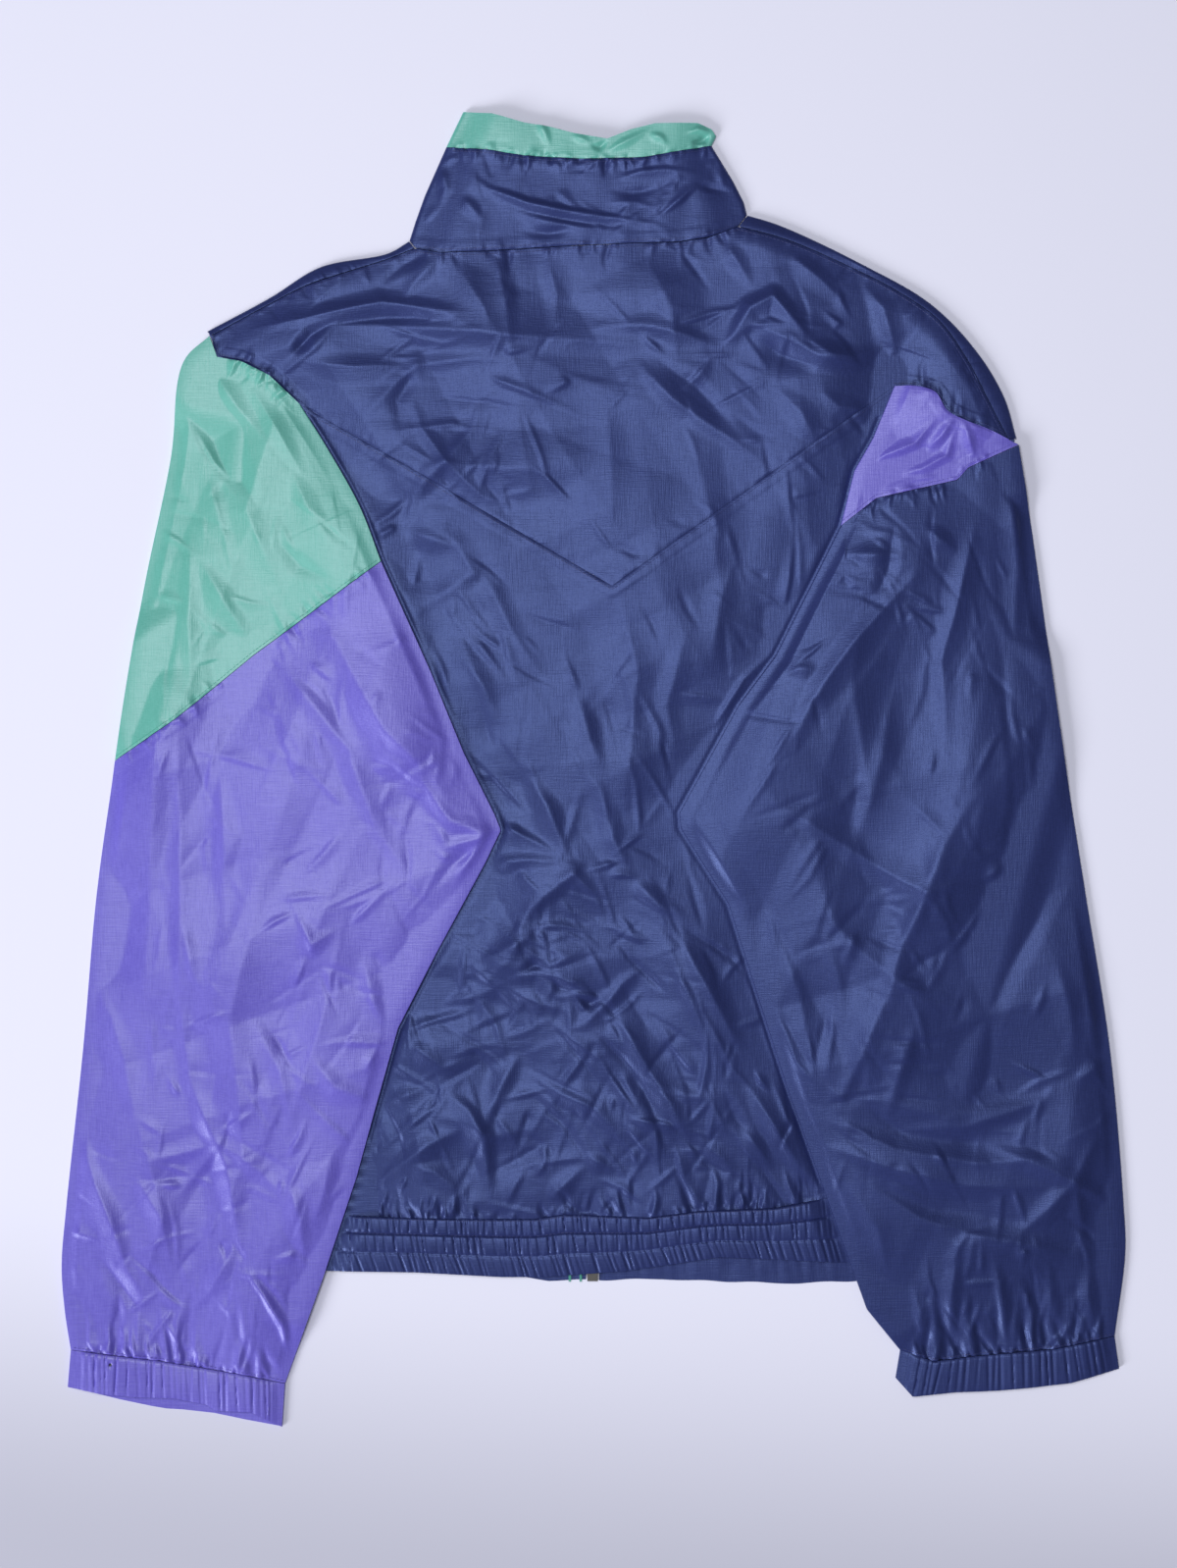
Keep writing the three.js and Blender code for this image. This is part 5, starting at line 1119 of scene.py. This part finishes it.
WEDGE_FOLDS = [
    (2.2, 7, 5, 0.5, [(172, 196), (190, 206), (208, 212), (222, 226)]),
    (-1.8, 6, 6, 0.5, [(180, 192), (200, 200), (222, 212)]),
    (1.6, 5, 6, 0.5, [(196, 192), (214, 196), (230, 204), (236, 222)]),
    (-1.5, 4, 6, 0.5, [(200, 186), (222, 186), (240, 196)]),
    (1.6, 5, 5, 0.6, [(214, 206), (226, 216), (236, 228)]),
    (1.3, 5, 6, 0.4, [(242, 226), (246, 212), (250, 200)]),
    (1.1, 5, 6, 0.4, [(176, 188), (172, 178), (168, 166)]),
]
LEFT_SMALL_FOLDS = [
    *small_folds(LEFT_CREASES, 51),
    *puckers(CUFF_SEAM_LEFT, 64, 52, 4, 60, 1.5, 92),
    *puckers(COLOUR_SEAM_LEFT, 44, 53, 3, 14, 0.7, 125),
    *puckers(COLOUR_SEAM_LEFT, 44, 54, 3, 14, 0.7, -55),
    *puckers(ARMHOLE_LEFT, 22, 55, 4, 22, 1.0, -120),
    *puckers(LEFT_OUTER, 34, 56, 4, 16, 0.7, -10),
]
RIGHT_SMALL_FOLDS = [
    *small_folds(RIGHT_CREASES, 61),
    *puckers(CUFF_SEAM_RIGHT, 64, 62, 4, 60, 1.5, 92),
    *puckers(COLOUR_SEAM_RIGHT, 34, 63, 3, 18, 0.8, -75),
    *puckers(COLOUR_SEAM_RIGHT, 26, 64, 2, 8, 0.6, 105),
    *puckers(RIGHT_OUTER, 34, 65, 4, 16, 0.7, 190),
    *WEDGE_FOLDS,
]
# The fold edges of each sleeve, down to its cuff's corners
LEFT_EDGES = (np.vstack([LEFT_OUTER, (-343, -402)]), np.vstack([LEFT_SLEEVE_INNER, (-203, -428)]))
RIGHT_EDGES = (np.vstack([RIGHT_OUTER, (343, -390)]), np.vstack([RIGHT_SLEEVE_INNER, (197, -396)]))


def sleeve_floor(x, y):
    return SLEEVE_OVER_BODY * (1 - rise(34, 56, outside_body(x, y))) + held_up(x, y)


def rounded_up(full, floor, to_edge):
    """A tube's upper side, pressed nearly level up to a tight fold at its edges."""
    tight = np.sqrt(1 - (1 - np.clip(to_edge / 0.35, 0, 1)) ** 2)
    share = np.clip(to_edge / FOLD_ROUND, 0, 1)
    loft = (np.maximum(full, floor + PRESSED) - floor - PRESSED) * share**2
    return floor + 1.4 + 1.2 * tight + 0.7 * share * (2 - share) + loft


def sleeve_top(folds, seams, x, y, edges):
    to_edge = np.minimum(nearest(edges[0], x, y)[0], nearest(edges[1], x, y)[0])
    lift = SLEEVE_OVER_BODY * (1 - rise(-20, 90, outside_body(x, y))) + held_up(x, y)
    soft = 0.5 * sway(x, y, 71, 160, 80) + 0.1 * sway(x, y, 72, 50, 24)
    free = (relief(folds, x, y) + soft + facets(x, y, 220)) * rise(0.5, 9, to_edge)
    for seed, (seam, raised) in enumerate(seams):
        free = free + seam_relief(seam, x, y, 80 + seed, raised=raised) * rise(0, 2, to_edge)
    return rounded_up(PRESSED + lift + 2.3 * rise(0, 34, to_edge) + free, sleeve_floor(x, y), to_edge)


def tube(name, plan, plan_under, rows, columns, top, floor):
    """A flattened tube: a fine upper side from one fold edge to the other, and a plain underside."""
    down = np.linspace(0.0006, 0.9992, rows)[:, None]
    (first_x, first_y), (last_x, last_y) = plan(0 * down, down), plan(0 * down + 1, down)
    width = np.hypot(last_x - first_x, last_y - first_y)
    edge = line(0, 0.35, 0.9, 1.7) / width
    over = np.hstack([edge, np.linspace(0, 1, columns) * (1 - 5.2 / width) + 2.6 / width, 1 - edge[:, ::-1]])
    margin = line(0.6, 1.7) / width
    below = np.hstack([1 - margin, 1 - 4 / width - np.linspace(0, 1, 14) * (1 - 8 / width), margin[:, ::-1]])
    downs = [np.broadcast_to(down, part.shape) for part in (over, below)]
    (over_x, over_y), (below_x, below_y) = plan(over, downs[0]), plan_under(below, downs[1])
    over_z = top(over_x, over_y, over, downs[0])
    below_edge = np.clip(np.minimum(below, 1 - below) * width / 0.7, 0, 1)
    below_floor = floor(below_x, below_y)
    below_z = below_floor + 0.3 * (1 - below_edge)
    outer_sides = ((over_x, below_x), (over_y, below_y), (over_z, below_z))
    outer = np.dstack([np.hstack(sides) for sides in outer_sides])

    count = over.shape[1]
    tops = kept(count)
    lowers = np.arange(0, below.shape[1], 2)
    down_rows = kept(rows)
    held = np.clip(over[np.ix_(down_rows, tops)], 0.9 / width[down_rows], 1 - 0.9 / width[down_rows])
    in_x, in_y = plan(held, downs[0][np.ix_(down_rows, tops)])
    in_floor = floor(in_x, in_y)
    in_z = np.maximum(lowest_near(over_z, down_rows, tops) - CLOTH, in_floor + 0.7)
    in_z[:, 0], in_z[:, -1] = in_floor[:, 0] + 0.75, in_floor[:, -1] + 0.75
    place = np.ix_(down_rows, lowers)
    inner_sides = ((in_x, below_x[place]), (in_y, below_y[place]), (in_z, below_z[place] + CLOTH))
    inner = np.dstack([np.hstack(sides) for sides in inner_sides])
    return wall(name, outer, inner, down_rows, np.concatenate([tops, count + lowers]), ring=True)


def left_top(x, y):
    return sleeve_top(LEFT_FOLDS + LEFT_SMALL_FOLDS, LEFT_SEAMS, x, y, LEFT_EDGES)


def right_top(x, y):
    return sleeve_top(RIGHT_FOLDS + RIGHT_SMALL_FOLDS, RIGHT_SEAMS, x, y, RIGHT_EDGES)


def sleeve(name, top_line, low_line, sides, rows, columns, cloth_top):
    """A part of a sleeve between two seams and its fold edges, the left one first."""
    plan = between(top_line, low_line, *sides)

    def top(x, y, share, down):
        return cloth_top(x, y)

    return tube(name, plan, plan, rows, columns, top, sleeve_floor)


def part_of(points, start, end):
    """The stretch of a line between two of its own points."""
    places = [int(np.hypot(*(points - place).T).argmin()) for place in (start, end)]
    return points[places[0] : places[1] + 1]


PURPLE_DYE = ((0.150, 0.125, 0.580), (0.092, 0.070, 0.450), (0.72, 0.76, 1.0))
PURPLE = taffeta("purple nylon", *PURPLE_DYE)
LEFT_SEAMS = [(COLOUR_SEAM_LEFT, -1), (ARMHOLE_LEFT, -1), (CUFF_SEAM_LEFT, 1)]
RIGHT_SEAMS = [(COLOUR_SEAM_RIGHT, 1), (ARMHOLE_RIGHT, -1), (CUFF_SEAM_RIGHT, 1)]
GREEN_SIDES = (
    part_of(LEFT_OUTER, (-250, 283), (-312, 6)),
    part_of(LEFT_SLEEVE_INNER, (-191, 238), (-138, 136)),
)
PURPLE_SIDES = (
    part_of(LEFT_OUTER, (-312, 6), (-341, -378)),
    part_of(LEFT_SLEEVE_INNER, (-138, 136), (-201, -400)),
)
WEDGE_SIDES = (
    part_of(RIGHT_SLEEVE_INNER, (196, 250), (161, 159)),
    part_of(RIGHT_OUTER, (271, 215), (277, 212)),
)
NAVY_SIDES = (
    part_of(RIGHT_SLEEVE_INNER, (161, 159), (200, -378)),
    part_of(RIGHT_OUTER, (277, 212), (340, -369)),
)
GREEN_AREA = enclosed(ARMHOLE_LEFT, GREEN_SIDES[1], COLOUR_SEAM_LEFT[::-1], GREEN_SIDES[0][::-1])
PURPLE_AREA = enclosed(COLOUR_SEAM_LEFT, PURPLE_SIDES[1], CUFF_SEAM_LEFT[::-1], PURPLE_SIDES[0][::-1])
WEDGE_AREA = enclosed(ARMHOLE_RIGHT, line((277, 212)), COLOUR_SEAM_RIGHT[::-1], line((182, 216)))
NAVY_AREA = enclosed(COLOUR_SEAM_RIGHT, NAVY_SIDES[1], CUFF_SEAM_RIGHT[::-1], NAVY_SIDES[0][::-1])
ON_BACK = ["back_body_cloth", "back_yoke_cloth"]

green = sleeve(
    "sleeve_left_upper_cloth", ARMHOLE_LEFT, COLOUR_SEAM_LEFT, GREEN_SIDES, 180, 128, left_top
)
sewn_in(green, GREEN, "green_nylon", (420, 280), 2 * GREEN_AREA, ON_BACK, "sleeve_left_upper")
purple = sleeve(
    "sleeve_left_lower_cloth", COLOUR_SEAM_LEFT, CUFF_SEAM_LEFT, PURPLE_SIDES, 318, 146, left_top
)
sewn_in(purple, PURPLE, "purple_nylon", (540, 520), 2 * PURPLE_AREA, ON_BACK, "sleeve_left_lower")
wedge = sleeve(
    "sleeve_right_upper_cloth", ARMHOLE_RIGHT, COLOUR_SEAM_RIGHT, WEDGE_SIDES, 60, 90, right_top
)
sewn_in(wedge, PURPLE, "purple_nylon", (240, 95), 2 * WEDGE_AREA, ON_BACK, "sleeve_right_upper")
navy = sleeve(
    "sleeve_right_lower_cloth", COLOUR_SEAM_RIGHT, CUFF_SEAM_RIGHT, NAVY_SIDES, 372, 128, right_top
)
sewn_in(navy, NAVY, "navy_nylon", (580, 600), 2 * NAVY_AREA, ON_BACK, "sleeve_right_lower")
topstitched("left_colour_seam_stitches", "green_nylon", [
    on_top(COLOUR_SEAM_LEFT, 2, left_top, start=0.015, end=0.985),
])  # fmt: skip
topstitched("purple_stitches", "purple_nylon", [
    on_top(CUFF_SEAM_LEFT, 1.8, left_top, start=0.02, end=0.98),
    on_top(COLOUR_SEAM_RIGHT, 2, right_top, start=0.03, end=0.95),
])  # fmt: skip
topstitched("right_cuff_stitches", "navy_nylon", [
    on_top(CUFF_SEAM_RIGHT, 1.8, right_top, start=0.02, end=0.98),
])  # fmt: skip

# Cuffs
# Bands of the sleeve's own colour over elastic, gathered into narrow tucks. The left one's upper edge
# lies a little higher than its lower one, which shows below it.
LEFT_CUFF_EDGES = (
    line(
        (-343, -402), (-322, -406), (-300, -408), (-272, -409), (-252, -413), (-246, -417), (-223, -418),
        (-203, -428),
    ),
    line((-343, -402), (-311, -410), (-280, -416.5), (-256, -417.5), (-225, -424), (-203, -428)),
)  # fmt: skip
RIGHT_CUFF_EDGES = (
    line((197, -396), (208, -408), (236, -405), (263, -404), (285, -402), (311, -399), (343, -390)),
    line((197, -396), (208, -408), (236, -405.5), (263, -404), (285, -402), (311, -399), (343, -390)),
)
HOLE = (-314.6, -387.2)  # a small worn hole in the left cuff


def on_surface(x, y):
    return 0 * x


def cuff(name, seam, edges, seed):
    sides = [line(seam[i], edges[0][i]) for i in (0, -1)]
    plans = [between(seam, edge, *sides) for edge in edges]
    width = math.dist(seam[0], seam[-1])

    def top(x, y, share, down):
        to_edge = np.minimum(share, 1 - share) * width
        tucks = gathers(share * width, down, width, [(0.0, 1.001, 1.5, 0.5)], seed, 2.2, 11)
        seam_row = 0.6 * np.exp(-((down * 24 / 0.8) ** 2))
        pit = 1.2 * np.exp(-((np.hypot(x - HOLE[0], y - HOLE[1]) / 1.3) ** 2))
        free = tucks - seam_row + 0.4 * sway(x, y, seed, 60, 25)
        full = 3.7 - pit + 2.2 * rise(0, 26, to_edge) + free * rise(0.5, 5, to_edge)
        return rounded_up(full, 0, to_edge)

    return tube(name, *plans, 20, 165, top, on_surface)


# The worn hole's inside is painted near black in this material, as painted shade.
PURPLE_WITH_HOLE_IN_PAINTED_SHADE = taffeta("purple nylon with a hole in painted shade", *PURPLE_DYE, (*(MM * line(*HOLE)), 5.2 * MM))
left_cuff = cuff("cuff_left_cloth", CUFF_SEAM_LEFT, LEFT_CUFF_EDGES, 91)
sewn_in(left_cuff, PURPLE_WITH_HOLE_IN_PAINTED_SHADE, "purple_nylon", (400, 30), 290 * 28, [], "cuff_left")
right_cuff = cuff("cuff_right_cloth", CUFF_SEAM_RIGHT, RIGHT_CUFF_EDGES, 92)
sewn_in(right_cuff, NAVY, "navy_nylon", (400, 30), 290 * 28, [], "cuff_right")

# Zip
# An open-ended zip down the front, with moulded teeth on woven tapes. From behind only its lower end
# shows below the hem: the tapes' cut ends, the metal box and the green bar tacks.
TOOTH_PITCH = 3.0
DULL_METAL = plain("worn zip metal", (0.15, 0.145, 0.14), 0.3, metallic=1.0)
TAPE = taffeta("zip tape", (0.30, 0.31, 0.34), (0.22, 0.23, 0.26), (1, 1, 1))
for name, material in {
    "zip_box": DULL_METAL,
    "zip_slider": DULL_METAL,
    "zip_pull": DULL_METAL,
    "zip_tape_left": TAPE,
    "zip_tape_right": TAPE,
}.items():
    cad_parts[name].data.materials.clear()
    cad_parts[name].data.materials.append(material)


def copies(name, points, faces, places):
    """One mesh of the same small shape at many places, in mm."""
    spots = (np.array(places)[:, None] + np.array(points)[None]).reshape(-1, 3)
    starts = np.arange(len(places)) * len(points)
    every_face = [tuple(start + corner for corner in face) for start in starts for face in faces]
    return mesh_object(name, spots * MM, every_face)


def tooth(side):
    """A moulded tooth: a shank that clamps the tape, a narrow neck and a round head past the middle."""
    outline = line(
        (2.4, -0.7), (2.4, 0.7), (0.7, 0.55), (0.3, 0.75),
        (-0.5, 0.6), (-0.5, -0.6), (0.3, -0.75), (0.7, -0.55),
    )  # fmt: skip
    return slab(outline * (side, 1), -0.7, 0.7)


low, high = (1000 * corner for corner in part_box("zip_chain"))
teeth = []
for side, shift in ((-1, 0), (1, TOOTH_PITCH / 2)):
    rows = np.arange(low.y + 1 + shift, high.y - 1, TOOTH_PITCH)
    places = np.column_stack([np.full(len(rows), ZIP_X), rows, np.full(len(rows), (low.z + high.z) / 2)])
    teeth.append(copies("zip_teeth", *tooth(side), places))
chain = joined(*teeth)
chain.data.materials.append(DULL_METAL)
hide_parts("zip_chain")
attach(chain, "jacket")

TACK_THREAD = line((-0.8, -0.2), (0.8, -0.2), (0.8, 0.2), (-0.8, 0.2))
turns = [(place, -333.2 + 0.55 * turn, 2.0) for place in (-15.4, -8.3) for turn in range(9)]
tacks = copies("zip_bar_tacks", *slab(TACK_THREAD, -0.3, 0.25), turns)
tacks.data.materials.append(THREADS["green_nylon"])
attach(tacks, "jacket")

# Surface, light and camera
# A matt pale board, with painted shade that greys it towards its lower end, under a large soft light
# that stands low at the lower left and a weak one overhead, seen from straight above.
floor_mesh = bpy.data.meshes.new("surface")
floor_mesh.from_pydata([(-4, -4, 0), (4, -4, 0), (4, 4, 0), (-4, 4, 0)], [], [(0, 1, 2, 3)])
floor = bpy.data.objects.new("surface", floor_mesh)
bpy.context.scene.collection.objects.link(floor)
paint = bpy.data.materials.new("pale board with painted shade")
paint.use_nodes = True
paint.node_tree.nodes.clear()
board = Wire(paint.node_tree)
place = board.node("TexCoord", out=3)
across = board.node("SeparateXYZ", {0: place}, out=0)
up = board.node("SeparateXYZ", {0: place}, out=1)
# Painted shade: the board's colour greys towards its lower end, standing in for the light falling off there.
painted_shade_reach = {"Value": up + across * 0.12, "From Min": -0.3, "From Max": -0.56}
shaded = board.node("MapRange", painted_shade_reach, {"interpolation_type": "SMOOTHSTEP"})
pale = board.mixed(shaded, (0.80, 0.805, 0.965, 1), (0.50, 0.505, 0.62, 1))
matt = board.node("BsdfPrincipled", {"Base Color": pale, "Roughness": 0.8})
board.node("OutputMaterial", {"Surface": matt})
floor_mesh.materials.append(paint)


def soft_light(name, place, size, power, colour=(1, 1, 1)):
    light = bpy.data.lights.new(name, "AREA")
    light.shape, light.size, light.energy, light.color = "SQUARE", size, power, colour
    made = bpy.data.objects.new(name, light)
    made.location = place
    made.rotation_mode = "QUATERNION"
    made.rotation_quaternion = made.location.to_track_quat("Z", "Y")
    bpy.context.scene.collection.objects.link(made)


soft_light("window light", (-4.4, -3.4, 2.5), 2.4, 335)
soft_light("overhead light", (-0.4, 0.3, 2.6), 0.9, 37)
world = bpy.data.worlds.new("room")
world.use_nodes = True
world.node_tree.nodes["Background"].inputs["Color"].default_value = (0.9, 0.93, 1, 1)
world.node_tree.nodes["Background"].inputs["Strength"].default_value = 0.13
bpy.context.scene.world = world
bpy.context.scene.view_settings.view_transform = "Standard"

camera = bpy.data.cameras.new("camera")
camera.sensor_fit, camera.sensor_height, camera.lens = "VERTICAL", 24, 51.6
eye = bpy.data.objects.new("camera", camera)
eye.location = (-0.0032, -0.009, 2.2)
bpy.context.scene.collection.objects.link(eye)
bpy.context.scene.camera = eye
